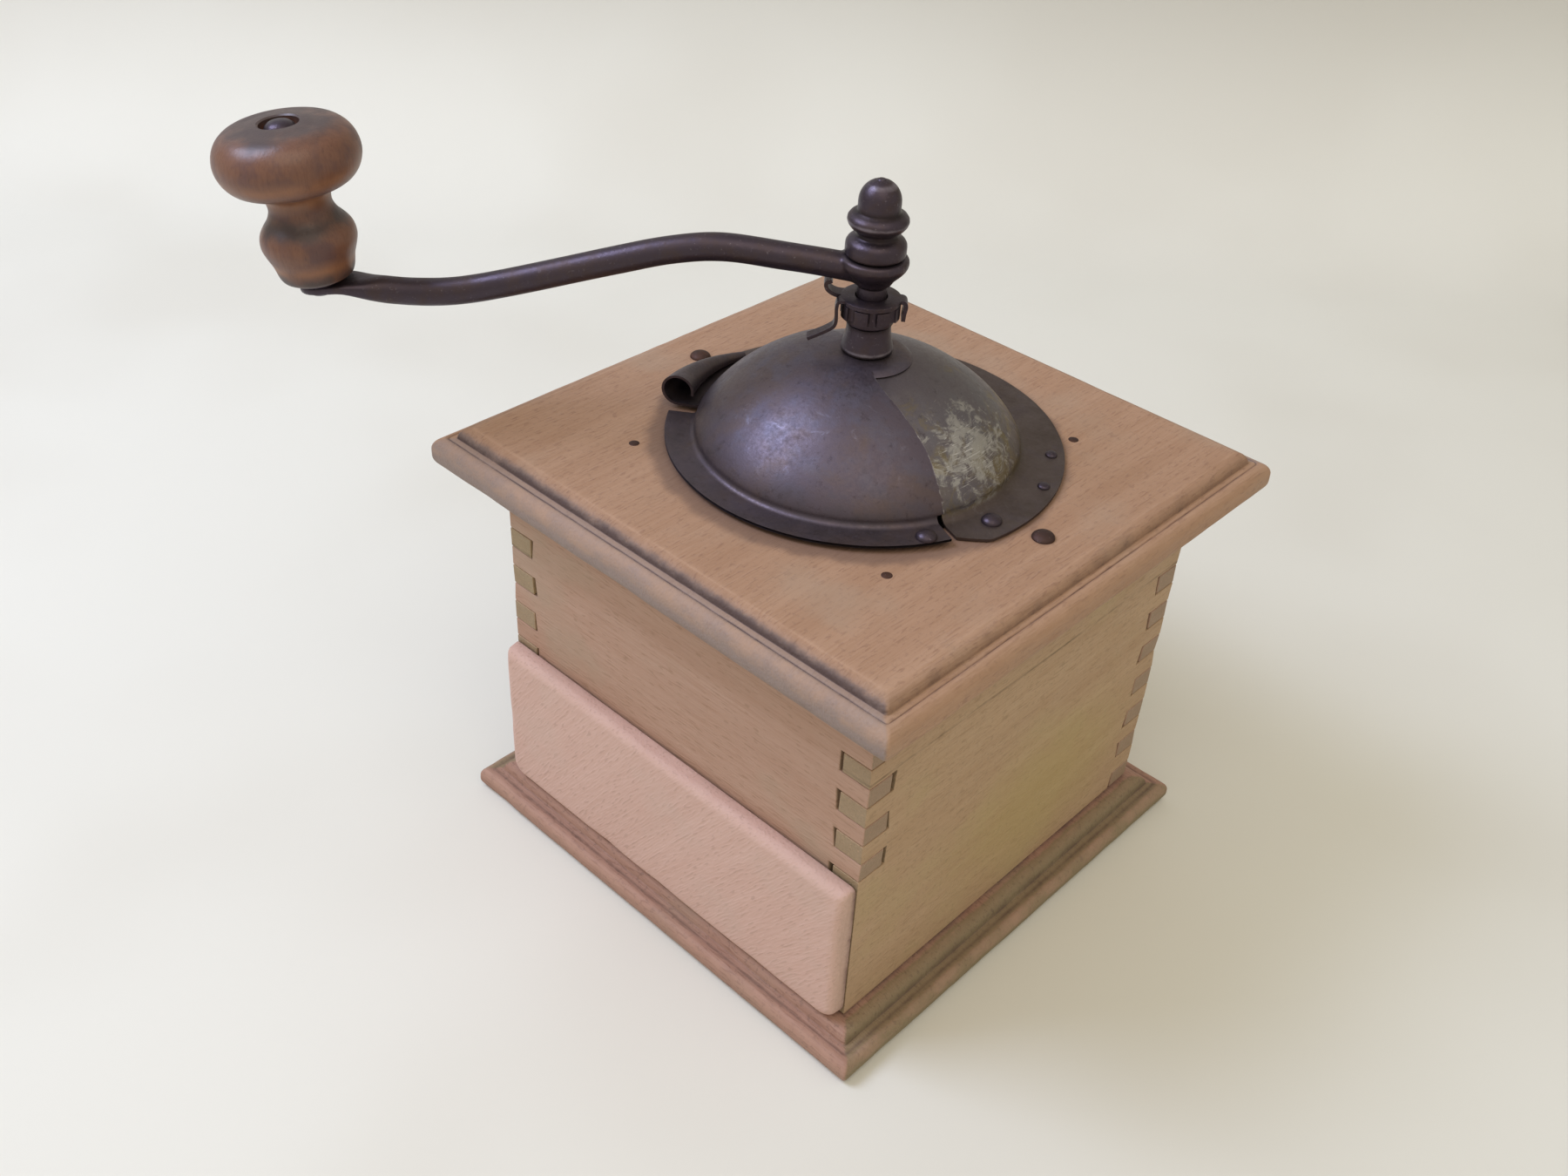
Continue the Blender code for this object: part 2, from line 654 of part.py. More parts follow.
def make_lid(parent, metal):
    faces = (dome_line(LID_OFFSET), dome_line(GAP))
    cells = dome_cells((LID_END, LID_START), (LID_FLANGE_END, LID_FLANGE_START))
    rolls = (grip_line(0), grip_line(1))
    for angle in range(LID_END, GRIP_START, DOME_STEP):
        here = angle % 360
        after = (angle + DOME_STEP) % 360
        for row in range(FOOT_ROW, RIM_ROW + len(rolls[0]) - 1):
            cells.append([(here, row), (here, row + 1), (after, row + 1), (after, row)])
    rolled = {angle % 360 for angle in range(LID_END, GRIP_START + 1, DOME_STEP)}

    def place(key, side):
        angle, row = key
        if row >= RIM_ROW and angle in rolled:
            r, z = rolls[side][row - RIM_ROW]
        else:
            r, z = faces[side][row]
        return polar(r, angle, z)

    lid = add_object("dome_lid", sheet_body(cells, place), metal, parent)
    x = LID_STUD_RADIUS * cos(LID_STUD_ANGLE)
    y = LID_STUD_RADIUS * sin(LID_STUD_ANGLE)
    drill(lid, [(x, y, BOARD_TOP, FLANGE_Z + LID_OFFSET + GAP, NAIL_SHANK + GAP)])
    return lid


# ---- spindle stack -----------------------------------------------------------

SLEEVE_Z = crown_z(LID_OFFSET, DOME_HOLE) + GAP
NUT_Z = SLEEVE_Z + SLEEVE_HEIGHT + GAP
PLATE_Z = NUT_Z + NUT_HEIGHT + GAP
EYE_Z = PLATE_Z + PLATE_THICKNESS + NECK_HEIGHT
ACORN_Z = EYE_Z + EYE_HEIGHT + GAP
BURR_TOP_Z = BOARD_BOTTOM - BURR_DEPTH
BURR_BOTTOM_Z = BURR_TOP_Z - BURR_HEIGHT
CONE_BOTTOM_Z = BURR_BOTTOM_Z
STRAP_BAR_TOP = BOARD_BOTTOM - STRAP_DEPTH + STRAP_THICKNESS


def make_sleeve(metal):
    thread_bottom = SLEEVE_Z - SLEEVE_THREAD_LENGTH
    top = SLEEVE_Z + SLEEVE_HEIGHT
    outline = [(SHAFT_HOLE, top), (SLEEVE_TOP_RADIUS, top),
               (SLEEVE_TOP_RADIUS + 0.25 * MM, SLEEVE_Z + SLEEVE_HEIGHT * 0.75),
               (SLEEVE_FOOT_RADIUS, SLEEVE_Z + 1.2 * MM), (SLEEVE_FOOT_RADIUS, SLEEVE_Z),
               (SLEEVE_THREAD_RADIUS, SLEEVE_Z), (SLEEVE_THREAD_RADIUS, thread_bottom),
               (SHAFT_HOLE, thread_bottom)]
    add_object("bearing_sleeve", turned(outline, 20), metal)
    nut_top = crown_z(-SHEET, SLEEVE_NUT_RADIUS) - 2 * GAP
    hexagon = [polar(SLEEVE_NUT_RADIUS, 60 * k, nut_top - SLEEVE_NUT_HEIGHT) for k in range(6)]
    nut = add_object("sleeve_nut", prism(hexagon, (0, 0, SLEEVE_NUT_HEIGHT)), metal)
    combine(nut, rod(0, 0, nut_top - 2 * SLEEVE_NUT_HEIGHT, nut_top + GAP, DOME_HOLE, 24), 'DIFFERENCE')


def make_adjusting_nut(parent, metal):
    rings = []
    per_notch = 4
    count = NUT_NOTCHES * per_notch
    levels = [(NUT_FOOT_RADIUS, 0, 0), (NUT_FOOT_RADIUS, 0, NUT_FOOT_HEIGHT),
              (NUT_RADIUS - 0.4 * MM, 1, NUT_FOOT_HEIGHT + 0.5 * MM),
              (NUT_RADIUS, 1, NUT_FOOT_HEIGHT + 1.1 * MM),
              (NUT_RADIUS, 1, NUT_HEIGHT - 0.5 * MM), (NUT_RADIUS - 0.5 * MM, 1, NUT_HEIGHT)]
    for radius, notched, height in levels:
        ring = []
        for k in range(count):
            deep = notched and k % per_notch == 0
            r = radius - (NUT_NOTCH_DEPTH if deep else 0)
            ring.append(polar(r, 360 * (k + 0.5) / count, NUT_Z + height))
        rings.append(ring)
    for height in (NUT_HEIGHT, 0):
        rings.append([polar(SHAFT_HOLE, 360 * (k + 0.5) / count, NUT_Z + height) for k in range(count)])
    add_object("adjusting_nut", lofted(rings, closed=True), metal, parent)


def make_lock_plate(parent, metal):
    """A sheet latch on the nut. Its +X side has the up-turned hook and the long
    tongue, its -X side the down-turned lug."""
    z = PLATE_Z + PLATE_THICKNESS / 2
    root = PLATE_RADIUS - 2 * MM
    rim = NUT_RADIUS + GAP + PLATE_THICKNESS / 2
    thickness = PLATE_THICKNESS * 0.9
    hook_out = rim + 3.2 * MM
    hook_top = EYE_Z
    outline = [(SHAFT_HOLE, PLATE_Z), (PLATE_RADIUS, PLATE_Z),
               (PLATE_RADIUS, PLATE_Z + PLATE_THICKNESS), (SHAFT_HOLE, PLATE_Z + PLATE_THICKNESS)]
    plate = add_object("lock_plate", turned(outline, 32), metal, parent)
    hook = [(root, z), (rim - 0.6 * MM, z), (hook_out, z + 2.3 * MM), (hook_out - 2.2 * MM, hook_top)]
    combine(plate, bent_strip(hook, thickness, -LATCH_WIDTH, 0.1 * MM), 'UNION')
    sleeve_top = SLEEVE_Z + SLEEVE_HEIGHT
    tongue = [(root, z), (rim, z), (rim, sleeve_top + GAP), (rim + 1.3 * MM, sleeve_top - 1.2 * MM),
              (rim + 7.0 * MM, sleeve_top - 4.3 * MM)]
    combine(plate, bent_strip(tongue, thickness * 0.85, 0.6 * MM, LATCH_WIDTH), 'UNION')
    lug = [(-root, z), (-rim, z), (-rim, z - NUT_HEIGHT)]
    combine(plate, bent_strip(lug, thickness, -LATCH_WIDTH / 2, LATCH_WIDTH / 2), 'UNION')


def make_spindle(parent, metal):
    bottom = STRAP_BAR_TOP - STRAP_THICKNESS - 3 * MM
    collar_top = CONE_BOTTOM_Z - GAP
    seat = EYE_Z - GAP
    stud = ACORN_Z
    top = ACORN_Z + ACORN_NECK_HEIGHT + BEAD_HEIGHT
    outline = [(0, top), (SPINDLE_STUD_RADIUS, top), (SPINDLE_STUD_RADIUS, stud),
               (SPINDLE_SEAT_RADIUS, stud), (SPINDLE_SEAT_RADIUS, seat), (SPINDLE_RADIUS, seat),
               (SPINDLE_RADIUS, collar_top), (COLLAR_RADIUS, collar_top),
               (COLLAR_RADIUS, collar_top - COLLAR_HEIGHT),
               (JOURNAL_RADIUS, collar_top - COLLAR_HEIGHT), (JOURNAL_RADIUS, bottom), (0, bottom)]
    add_object("spindle", turned(outline, 24), metal, parent)


def make_acorn_nut(parent, metal):
    bell_round = BELL_RADIUS - ACORN_NECK_RADIUS
    neck_top = ACORN_NECK_HEIGHT + 1.0 * MM
    bead_top = ACORN_NECK_HEIGHT + BEAD_HEIGHT + 1.0 * MM
    bead_middle = (neck_top + bead_top) / 2
    cap_base = ACORN_NECK_HEIGHT + BEAD_HEIGHT + 0.8 * MM
    dome_centre = cap_base + CAP_HEIGHT - CAP_RADIUS - 0.8 * MM
    bore = SPINDLE_STUD_RADIUS + GAP
    outline = [(bore, 0), (BELL_RADIUS - 0.5 * MM, 0), (BELL_RADIUS, 0.6 * MM),
               (BELL_RADIUS, BELL_HEIGHT * 0.62), (BELL_RADIUS - 0.45 * MM, BELL_HEIGHT * 0.75)]
    outline += arc(ACORN_NECK_RADIUS, BELL_HEIGHT * 0.8, bell_round - 0.45 * MM, 0, 80, 4)
    outline += [(ACORN_NECK_RADIUS - 0.3 * MM, ACORN_NECK_HEIGHT)]
    outline += [(BEAD_RADIUS - 1.2 * MM, neck_top + 0.5 * MM), (BEAD_RADIUS - 0.2 * MM, bead_middle - 0.7 * MM),
                (BEAD_RADIUS, bead_middle), (BEAD_RADIUS - 0.3 * MM, bead_middle + 0.8 * MM),
                (BEAD_RADIUS - 1.4 * MM, bead_top - 0.6 * MM), (CAP_RADIUS, bead_top - 0.3 * MM)]
    outline += arc(0, dome_centre, CAP_RADIUS, 0, 90, 5)
    outline[-1] = (0, outline[-1][1])
    outline += [(0, cap_base + GAP), (bore, cap_base + GAP)]
    add_object("acorn_nut", turned(outline, 24), metal, parent, location=(0, 0, ACORN_Z))


# ---- crank and knob ----------------------------------------------------------

BAR_START_Z = EYE_Z + EYE_HEIGHT - BAR_RADIUS - 2 * GAP
PAD_Z = BAR_START_Z - CRANK_DROP


def crank_path():
    """Points (distance, height) of the bar's centre line."""
    start = BAR_START_Z
    slope = sin(KNOB_LEAN)
    back = CRANK_PAD_HALF_WIDTH
    key_points = [
        (4.0 * MM, start),
        (EYE_RADIUS + 2.8 * MM, start + 1.3 * MM),
        (0.16 * CRANK_REACH, start + 2.4 * MM),
        (0.27 * CRANK_REACH, start + 3.7 * MM),
        (0.36 * CRANK_REACH, start + 2.2 * MM),
        (0.46 * CRANK_REACH, start - 1.4 * MM),
        (0.65 * CRANK_REACH, start - 8.9 * MM),
        (0.75 * CRANK_REACH, start - 12.2 * MM),
        (0.83 * CRANK_REACH, start - 13.2 * MM),
        (0.90 * CRANK_REACH, start - 12.9 * MM),
        (CRANK_REACH - 1.2 * back, PAD_Z + 1.2 * back * slope),
        (CRANK_REACH, PAD_Z),
        (CRANK_REACH + back, PAD_Z - back * slope),
    ]
    return smooth_line(key_points, 4)


def make_crank_arm(parent, metal):
    path = crank_path()
    rings = []
    sides = 16
    flat_start = CRANK_REACH - 3.2 * CRANK_PAD_HALF_WIDTH
    flat_end = CRANK_REACH - 0.9 * CRANK_PAD_HALF_WIDTH
    for index, (s, z) in enumerate(path):
        before = Vector(path[max(index - 1, 0)])
        after = Vector(path[min(index + 1, len(path) - 1)])
        along = (after - before).normalized()
        share = min(max((s - flat_start) / (flat_end - flat_start), 0), 1)
        share = share * share * (3 - 2 * share)
        width = BAR_RADIUS + (CRANK_PAD_HALF_WIDTH - BAR_RADIUS) * share
        height = BAR_RADIUS + (CRANK_PAD_THICKNESS / 2 - BAR_RADIUS) * share
        past = max(s - CRANK_REACH, 0) / (CRANK_PAD_HALF_WIDTH * 1.02)
        width *= max(1 - past * past, 0.02) ** 0.5
        power = 1 - 0.6 * share
        ring = []
        for k in range(sides):
            angle = 2 * pi * (k + 0.5) / sides
            side_part = abs(cos(angle)) ** power * (1 if cos(angle) > 0 else -1)
            up_part = abs(sin(angle)) ** power * (1 if sin(angle) > 0 else -1)
            ring.append((s - along.y * up_part * height, side_part * width, z + along.x * up_part * height))
        rings.append(ring)
    arm = add_object("crank_arm", lofted(rings), metal, parent)
    taper = EYE_HEIGHT * 0.45
    eye = turned([(0, EYE_Z + EYE_HEIGHT), (EYE_RADIUS - 0.5 * MM, EYE_Z + EYE_HEIGHT),
                  (EYE_RADIUS, EYE_Z + EYE_HEIGHT - 0.6 * MM), (EYE_RADIUS, EYE_Z + taper),
                  (EYE_RADIUS - 0.6 * MM, EYE_Z + taper * 0.6), (EYE_FOOT_RADIUS, EYE_Z), (0, EYE_Z)], 28)
    combine(arm, eye, 'UNION')
    combine(arm, rod(0, 0, EYE_Z - GAP, EYE_Z + EYE_HEIGHT + GAP, SPINDLE_SEAT_RADIUS + GAP, 20), 'DIFFERENCE')
    hole = rod(0, 0, -CRANK_PAD_THICKNESS, CRANK_PAD_THICKNESS, PIN_RADIUS + GAP, 16)
    bmesh.ops.rotate(hole, verts=hole.verts, cent=(0, 0, 0),
                     matrix=Vector((0, 0, 1)).rotation_difference(
                         Vector((sin(KNOB_LEAN), 0, cos(KNOB_LEAN)))).to_matrix())
    bmesh.ops.translate(hole, verts=hole.verts, vec=(CRANK_REACH, 0, PAD_Z))
    combine(arm, hole, 'DIFFERENCE')


def knob_outline():
    """The turned outline from the foot to the recess's rim, as (radius, height)."""
    head = KNOB_HEAD_RADIUS
    length = KNOB_LENGTH
    key_points = [
        (KNOB_FOOT_RADIUS, 0),
        (KNOB_BEAD_RADIUS - 1.4 * MM, 0.13 * length),
        (KNOB_BEAD_RADIUS, 0.26 * length),
        (KNOB_BEAD_RADIUS - 2.0 * MM, 0.36 * length),
        (KNOB_NECK_RADIUS, 0.47 * length),
        (KNOB_NECK_RADIUS + 0.9 * MM, 0.56 * length),
        (head - 4.2 * MM, 0.62 * length),
        (head, 0.79 * length),
        (head - 2.2 * MM, 0.94 * length),
        (head - 6.4 * MM, length),
    ]
    return smooth_line(key_points, 3)


def make_knob(crank, spin, wood, metal):
    foot = CRANK_PAD_THICKNESS / 2 + 2 * GAP + WASHER_THICKNESS
    bore = PIN_RADIUS + GAP
    outline = [(r, foot + h) for r, h in knob_outline()]
    top = foot + KNOB_LENGTH
    floor = top - KNOB_RECESS_DEPTH
    outline += [(KNOB_RECESS_RADIUS, top + 0.1 * MM), (KNOB_RECESS_RADIUS, floor), (bore, floor), (bore, foot)]
    add_object("knob", turned(outline, 28), wood, spin)
    washer = [(bore, foot - GAP), (WASHER_RADIUS, foot - GAP),
              (WASHER_RADIUS, foot - GAP - WASHER_THICKNESS), (bore, foot - GAP - WASHER_THICKNESS)]
    lean = (0, KNOB_LEAN, 0)
    place = (CRANK_REACH, 0, PAD_Z)
    add_object("knob_washer", turned(washer, 24), metal, crank, place, lean)
    tail = -CRANK_PAD_THICKNESS / 2 - GAP
    seat = floor + GAP
    crown = seat + PIN_HEAD_HEIGHT
    pin = [(0, crown), (PIN_HEAD_RADIUS * 0.55, crown - 0.35 * MM), (PIN_HEAD_RADIUS * 0.88, crown - 1.0 * MM),
           (PIN_HEAD_RADIUS, seat), (PIN_RADIUS, seat), (PIN_RADIUS, tail),
           (PIN_RADIUS * 1.6, tail), (PIN_RADIUS * 1.3, tail - PIN_TAIL_HEIGHT), (0, tail - PIN_TAIL_HEIGHT)]
    add_object("knob_pin", turned(pin, 20), metal, crank, place, lean)


# ---- hopper and burrs --------------------------------------------------------

def make_hopper_bowl(metal):
    rim_z = BOARD_TOP - REBATE_DEPTH + GAP
    throat = BURR_BORE_TOP + 0.8 * MM
    low = BURR_TOP_Z + GAP
    mouth = HOPPER_HOLE_RADIUS - GAP - BOWL_SHEET
    outline = [(REBATE_RADIUS - GAP, rim_z), (REBATE_RADIUS - GAP, rim_z + SHEET),
               (mouth - BOWL_SHEET, rim_z + SHEET), (mouth - 2.2 * BOWL_SHEET, rim_z - 2 * MM),
               (throat, low), (throat + BOWL_SHEET * 1.3, low),
               (mouth - BOWL_SHEET, rim_z - 2.4 * MM), (mouth, rim_z)]
    add_object("hopper_bowl", turned(outline, 40), metal)


def toothed_ring(radius, height, teeth, per_tooth, tooth, twist):
    """A ring of points whose radius steps between the tooth tips and roots."""
    count = teeth * per_tooth
    ring = []
    for k in range(count):
        r = radius - tooth * (k % per_tooth) / (per_tooth - 1)
        angle = 2 * pi * k / count + twist
        ring.append((r * cos(angle), r * sin(angle), height))
    return ring


def make_burr_ring(metal):
    per_tooth = 3
    count = BURR_RING_TEETH * per_tooth
    bottom = BURR_BOTTOM_Z
    rings = [[polar(BURR_RING_RADIUS, 360 * k / count, z) for k in range(count)]
             for z in (bottom, BURR_TOP_Z)]
    for share in (1, 0.5, 0):
        radius = BURR_BORE_BOTTOM + (BURR_BORE_TOP - BURR_BORE_BOTTOM) * share
        rings.append(toothed_ring(radius + BURR_TOOTH, bottom + BURR_HEIGHT * share,
                                  BURR_RING_TEETH, per_tooth, BURR_TOOTH, 0))
    ring = add_object("burr_ring", lofted(rings, closed=True), metal)
    arm_z = bottom + (BURR_HEIGHT - RING_ARM_HEIGHT) / 2
    reach = STRAP_LEG - STRAP_THICKNESS - GAP
    for side in (1, -1):
        ys = sorted((side * (BURR_RING_RADIUS - 1.5 * MM), side * reach))
        arm = block((-RING_ARM_WIDTH / 2, ys[0], arm_z), (RING_ARM_WIDTH / 2, ys[1], arm_z + RING_ARM_HEIGHT))
        combine(ring, arm, 'UNION')
        combine(ring, lying_rod(side * (reach - 10 * MM), side * (reach + GAP), 1.5 * MM + GAP), 'DIFFERENCE')


def lying_rod(y_start, y_end, radius):
    """A rod along Y at the height of the burr ring's arms."""
    z = BURR_BOTTOM_Z + BURR_HEIGHT / 2
    ring = [(radius * cos(2 * pi * k / 12), y_start, z + radius * sin(2 * pi * k / 12)) for k in range(12)]
    return prism(ring, (0, y_end - y_start, 0))


def make_burr_cone(parent, metal):
    rings = []
    per_tooth = 3
    count = CONE_TEETH * per_tooth
    levels = 6
    rim = BURR_BORE_BOTTOM - BURR_GAP
    for index in range(levels + 1):
        share = index / levels
        radius = rim + (CONE_TOP_RADIUS - rim) * share ** 0.8
        rings.append(toothed_ring(radius, CONE_BOTTOM_Z + BURR_HEIGHT * share, CONE_TEETH, per_tooth,
                                  BURR_TOOTH, CONE_TWIST * share))
    for share in (1, 0):
        ring = [(SHAFT_HOLE * cos(2 * pi * k / count + CONE_TWIST * share),
                 SHAFT_HOLE * sin(2 * pi * k / count + CONE_TWIST * share),
                 CONE_BOTTOM_Z + BURR_HEIGHT * share) for k in range(count)]
        rings.append(ring)
    add_object("burr_cone", lofted(rings, closed=True), metal, parent)


def make_lower_bridge(metal):
    half = STRAP_THICKNESS / 2
    foot_z = BOARD_BOTTOM - GAP - half
    leg = STRAP_LEG - half
    bar_z = STRAP_BAR_TOP - half
    outer = STRAP_LEG + STRAP_FOOT
    path = [(-outer, foot_z), (-leg, foot_z), (-leg, bar_z), (leg, bar_z), (leg, foot_z), (outer, foot_z)]
    strap = bent_strip(path, STRAP_THICKNESS, -STRAP_WIDTH / 2, STRAP_WIDTH / 2)
    for vert in strap.verts:
        vert.co = Vector((vert.co.y, vert.co.x, vert.co.z))
    bridge = add_object("lower_bridge", strap, metal)
    holes = [(0, 0, bar_z - STRAP_THICKNESS, bar_z + STRAP_THICKNESS, JOURNAL_RADIUS + GAP)]
    holes += [(x, y, foot_z - STRAP_THICKNESS, foot_z + STRAP_THICKNESS, TOP_SCREW_SHANK + GAP)
              for x, y in bridge_screw_places()]
    drill(bridge, holes)
    for side in (1, -1):
        combine(bridge, lying_rod(side * (STRAP_LEG - 2 * STRAP_THICKNESS), side * (STRAP_LEG + GAP),
                                  1.5 * MM + GAP), 'DIFFERENCE')


# ---- fasteners ---------------------------------------------------------------

def round_head_pin(head, rise, shank, length, steps=4, segments=16):
    """A round-headed pin that hangs from z = 0: head above, shank below."""
    outline = [(0, rise)]
    for index in range(1, steps + 1):
        angle = pi / 2 * index / steps
        outline.append((head * sin(angle), rise * cos(angle)))
    outline += [(shank, 0), (shank, -length), (0, -length)]
    return turned(outline, segments)


def make_fasteners(lid, metal):
    seat = BOARD_TOP + GAP
    length = TOP_SCREW_LENGTH + GAP
    screw = round_head_pin(TOP_SCREW_HEAD, 2.1 * MM, TOP_SCREW_SHANK, length)
    x = HALF_BOX - TOP_SCREW_INSET
    first = add_object("top_screw_right", screw, metal, location=(x, 0, seat))
    add_copy("top_screw_left", first.data, location=(-x, 0, seat))

    places = top_nail_places()
    nail_seat = BOARD_TOP - NAIL_HEAD / 2 + GAP
    nail_length = NAIL_LENGTH - NAIL_HEAD / 2 + GAP
    outline = [(0, NAIL_HEAD / 2), (NAIL_HEAD * 0.7, NAIL_HEAD / 2 - 0.1 * MM), (NAIL_HEAD, NAIL_HEAD / 2 - 0.4 * MM),
               (NAIL_HEAD, 0), (NAIL_SHANK, 0), (NAIL_SHANK, -nail_length), (0, -nail_length)]
    first = add_object("top_nail_1", turned(outline, 12), metal, location=(*places[0], nail_seat))
    for number, (x, y) in enumerate(places[1:], 2):
        add_copy(f"top_nail_{number}", first.data, location=(x, y, nail_seat))

    flange_seat = FLANGE_Z + GAP
    places = flange_pin_places()
    pin_length = flange_seat - BOARD_BOTTOM - GAP
    rivet = round_head_pin(STUD_HEAD, 1.7 * MM, NAIL_SHANK, pin_length)
    add_object("flange_rivet", rivet, metal, location=(*places[0], flange_seat))
    nail = round_head_pin(NAIL_HEAD, 0.8 * MM, NAIL_SHANK, pin_length, steps=3, segments=12)
    first = add_object("flange_nail_1", nail, metal, location=(*places[1], flange_seat))
    for number, (x, y) in enumerate(places[2:], 2):
        add_copy(f"flange_nail_{number}", first.data, location=(x, y, flange_seat))

    underside = FLANGE_Z + GAP
    stud_seat = FLANGE_Z + LID_OFFSET + GAP
    tail = stud_seat - underside + GAP
    upset = 0.4 * MM
    outline = [(0, 1.9 * MM)]
    for index in range(1, 5):
        angle = pi / 2 * index / 4
        outline.append((STUD_HEAD * sin(angle), 1.9 * MM * cos(angle)))
    outline += [(NAIL_SHANK, 0), (NAIL_SHANK, -tail), (NAIL_SHANK * 1.9, -tail),
                (NAIL_SHANK * 1.9, -tail - upset), (0, -tail - upset)]
    place = (LID_STUD_RADIUS * cos(LID_STUD_ANGLE), LID_STUD_RADIUS * sin(LID_STUD_ANGLE), stud_seat)
    add_object("lid_stud", turned(outline, 16), metal, lid, location=place)

    sink = BASE_SCREW_HEAD - BASE_SCREW_SHANK
    outline = [(0, BASE_SCREW_LENGTH), (BASE_SCREW_SHANK, BASE_SCREW_LENGTH - 2 * MM),
               (BASE_SCREW_SHANK, sink + GAP), (BASE_SCREW_HEAD, GAP), (0, GAP)]
    places = base_screw_places()
    first = add_object("base_screw_1", turned(outline, 12), metal, location=(*places[0], 0))
    for number, (x, y) in enumerate(places[1:], 2):
        add_copy(f"base_screw_{number}", first.data, location=(x, y, 0))

    seat = BOARD_BOTTOM - 2 * GAP - STRAP_THICKNESS
    length = STRAP_THICKNESS + GAP + TOP_THICKNESS * 0.55
    screw = round_head_pin(TOP_SCREW_HEAD, 1.8 * MM, TOP_SCREW_SHANK, length, steps=3, segments=12)
    places = bridge_screw_places()
    turn = (pi, 0, 0)
    first = add_object("bridge_screw_1", screw, metal, location=(*places[0], seat), rotation=turn)
    add_copy("bridge_screw_2", first.data, location=(*places[1], seat), rotation=turn)

    bolt = round_head_pin(3.0 * MM, 1.8 * MM, 1.5 * MM, STRAP_THICKNESS + 9 * MM, steps=3, segments=12)
    z = BURR_BOTTOM_Z + BURR_HEIGHT / 2
    y = STRAP_LEG + GAP
    first = add_object("ring_bolt_1", bolt, metal, location=(0, y, z), rotation=(-pi / 2, 0, 0))
    add_copy("ring_bolt_2", first.data, location=(0, -y, z), rotation=(pi / 2, 0, 0))


# ---- assembly ----------------------------------------------------------------

def build():
    clear_scene()
    board_wood = make_material("beech_board", (0.39, 0.24, 0.15), 0.65)
    wall_wood = make_material("beech_wall", (0.35, 0.23, 0.13), 0.65)
    front_wood = make_material("sanded_beech", (0.55, 0.38, 0.29), 0.7)
    tray_wood = make_material("plain_beech", (0.5, 0.36, 0.22), 0.7)
    knob_wood = make_material("stained_beech", (0.16, 0.06, 0.03), 0.35)
    sheet_metal = make_material("patinated_sheet", (0.09, 0.07, 0.08), 0.4, 0.9)
    iron = make_material("dark_iron", (0.05, 0.035, 0.045), 0.45, 0.9)
    cast_iron = make_material("cast_iron", (0.08, 0.08, 0.08), 0.6, 0.9)

    make_base_board(board_wood)
    make_side_panel("right_panel", 1, wall_wood)
    make_side_panel("left_panel", -1, wall_wood)
    make_cross_panel("back_panel", 1, FINGER_COUNT, WALL_BOTTOM, wall_wood)
    make_cross_panel("front_panel", -1, FRONT_FINGER_COUNT, OPENING_TOP, wall_wood)
    make_corner_blocks(tray_wood)
    make_top_board(board_wood)
    make_drawer(add_empty("drawer_slide"), front_wood, tray_wood)

    lid_turn = add_empty("lid_turn")
    make_fixed_shell(sheet_metal)
    make_lid(lid_turn, sheet_metal)

    spindle_turn = add_empty("crank_turn")
    latch = add_empty("latch", spindle_turn, rotation=(0, 0, CRANK_AZIMUTH))
    crank = add_empty("crank", spindle_turn, rotation=(0, 0, CRANK_AZIMUTH))
    knob_spin = add_empty("knob_spin", crank, (CRANK_REACH, 0, PAD_Z), (0, KNOB_LEAN, 0))
    make_sleeve(iron)
    make_adjusting_nut(spindle_turn, iron)
    make_lock_plate(latch, iron)
    make_spindle(spindle_turn, iron)
    make_acorn_nut(spindle_turn, iron)
    make_crank_arm(crank, iron)
    make_knob(crank, knob_spin, knob_wood, iron)

    make_hopper_bowl(sheet_metal)
    make_burr_ring(cast_iron)
    make_burr_cone(spindle_turn, cast_iron)
    make_lower_bridge(iron)
    make_fasteners(lid_turn, iron)


build()
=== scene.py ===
"""The looks of an old box mill for coffee: worn beech, patinated sheet and forged iron."""

import json
from math import asin, atan2, cos, degrees, hypot, pi, radians, sin

import bmesh
import bpy
from mathutils import Matrix, Vector, noise


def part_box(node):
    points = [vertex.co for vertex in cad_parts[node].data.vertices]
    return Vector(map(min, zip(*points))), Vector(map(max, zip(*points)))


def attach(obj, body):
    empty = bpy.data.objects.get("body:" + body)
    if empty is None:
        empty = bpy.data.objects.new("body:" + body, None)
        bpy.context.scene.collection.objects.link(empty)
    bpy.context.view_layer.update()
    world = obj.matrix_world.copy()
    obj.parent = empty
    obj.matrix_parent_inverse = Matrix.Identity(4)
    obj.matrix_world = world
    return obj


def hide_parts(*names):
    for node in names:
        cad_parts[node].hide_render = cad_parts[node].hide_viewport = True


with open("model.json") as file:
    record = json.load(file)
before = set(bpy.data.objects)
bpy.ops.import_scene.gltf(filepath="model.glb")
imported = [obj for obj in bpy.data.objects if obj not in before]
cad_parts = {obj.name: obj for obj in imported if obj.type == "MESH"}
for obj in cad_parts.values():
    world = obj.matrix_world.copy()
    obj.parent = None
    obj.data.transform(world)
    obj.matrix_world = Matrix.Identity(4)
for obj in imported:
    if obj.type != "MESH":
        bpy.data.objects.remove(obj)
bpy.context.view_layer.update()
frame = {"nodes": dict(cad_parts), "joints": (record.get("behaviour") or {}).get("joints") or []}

MM = 0.001
PER_MM = 1000.0                   # pattern lengths are given in millimetres

# Camera: its place in metres, and its lens in millimetres
CAMERA_PLACE = Vector((0.21678, -0.26878, 0.33727))
CAMERA_AZIMUTH = radians(41.70)
CAMERA_ELEVATION = radians(36.98)
CAMERA_ROLL = radians(3.54)
CAMERA_LENS = 35.39

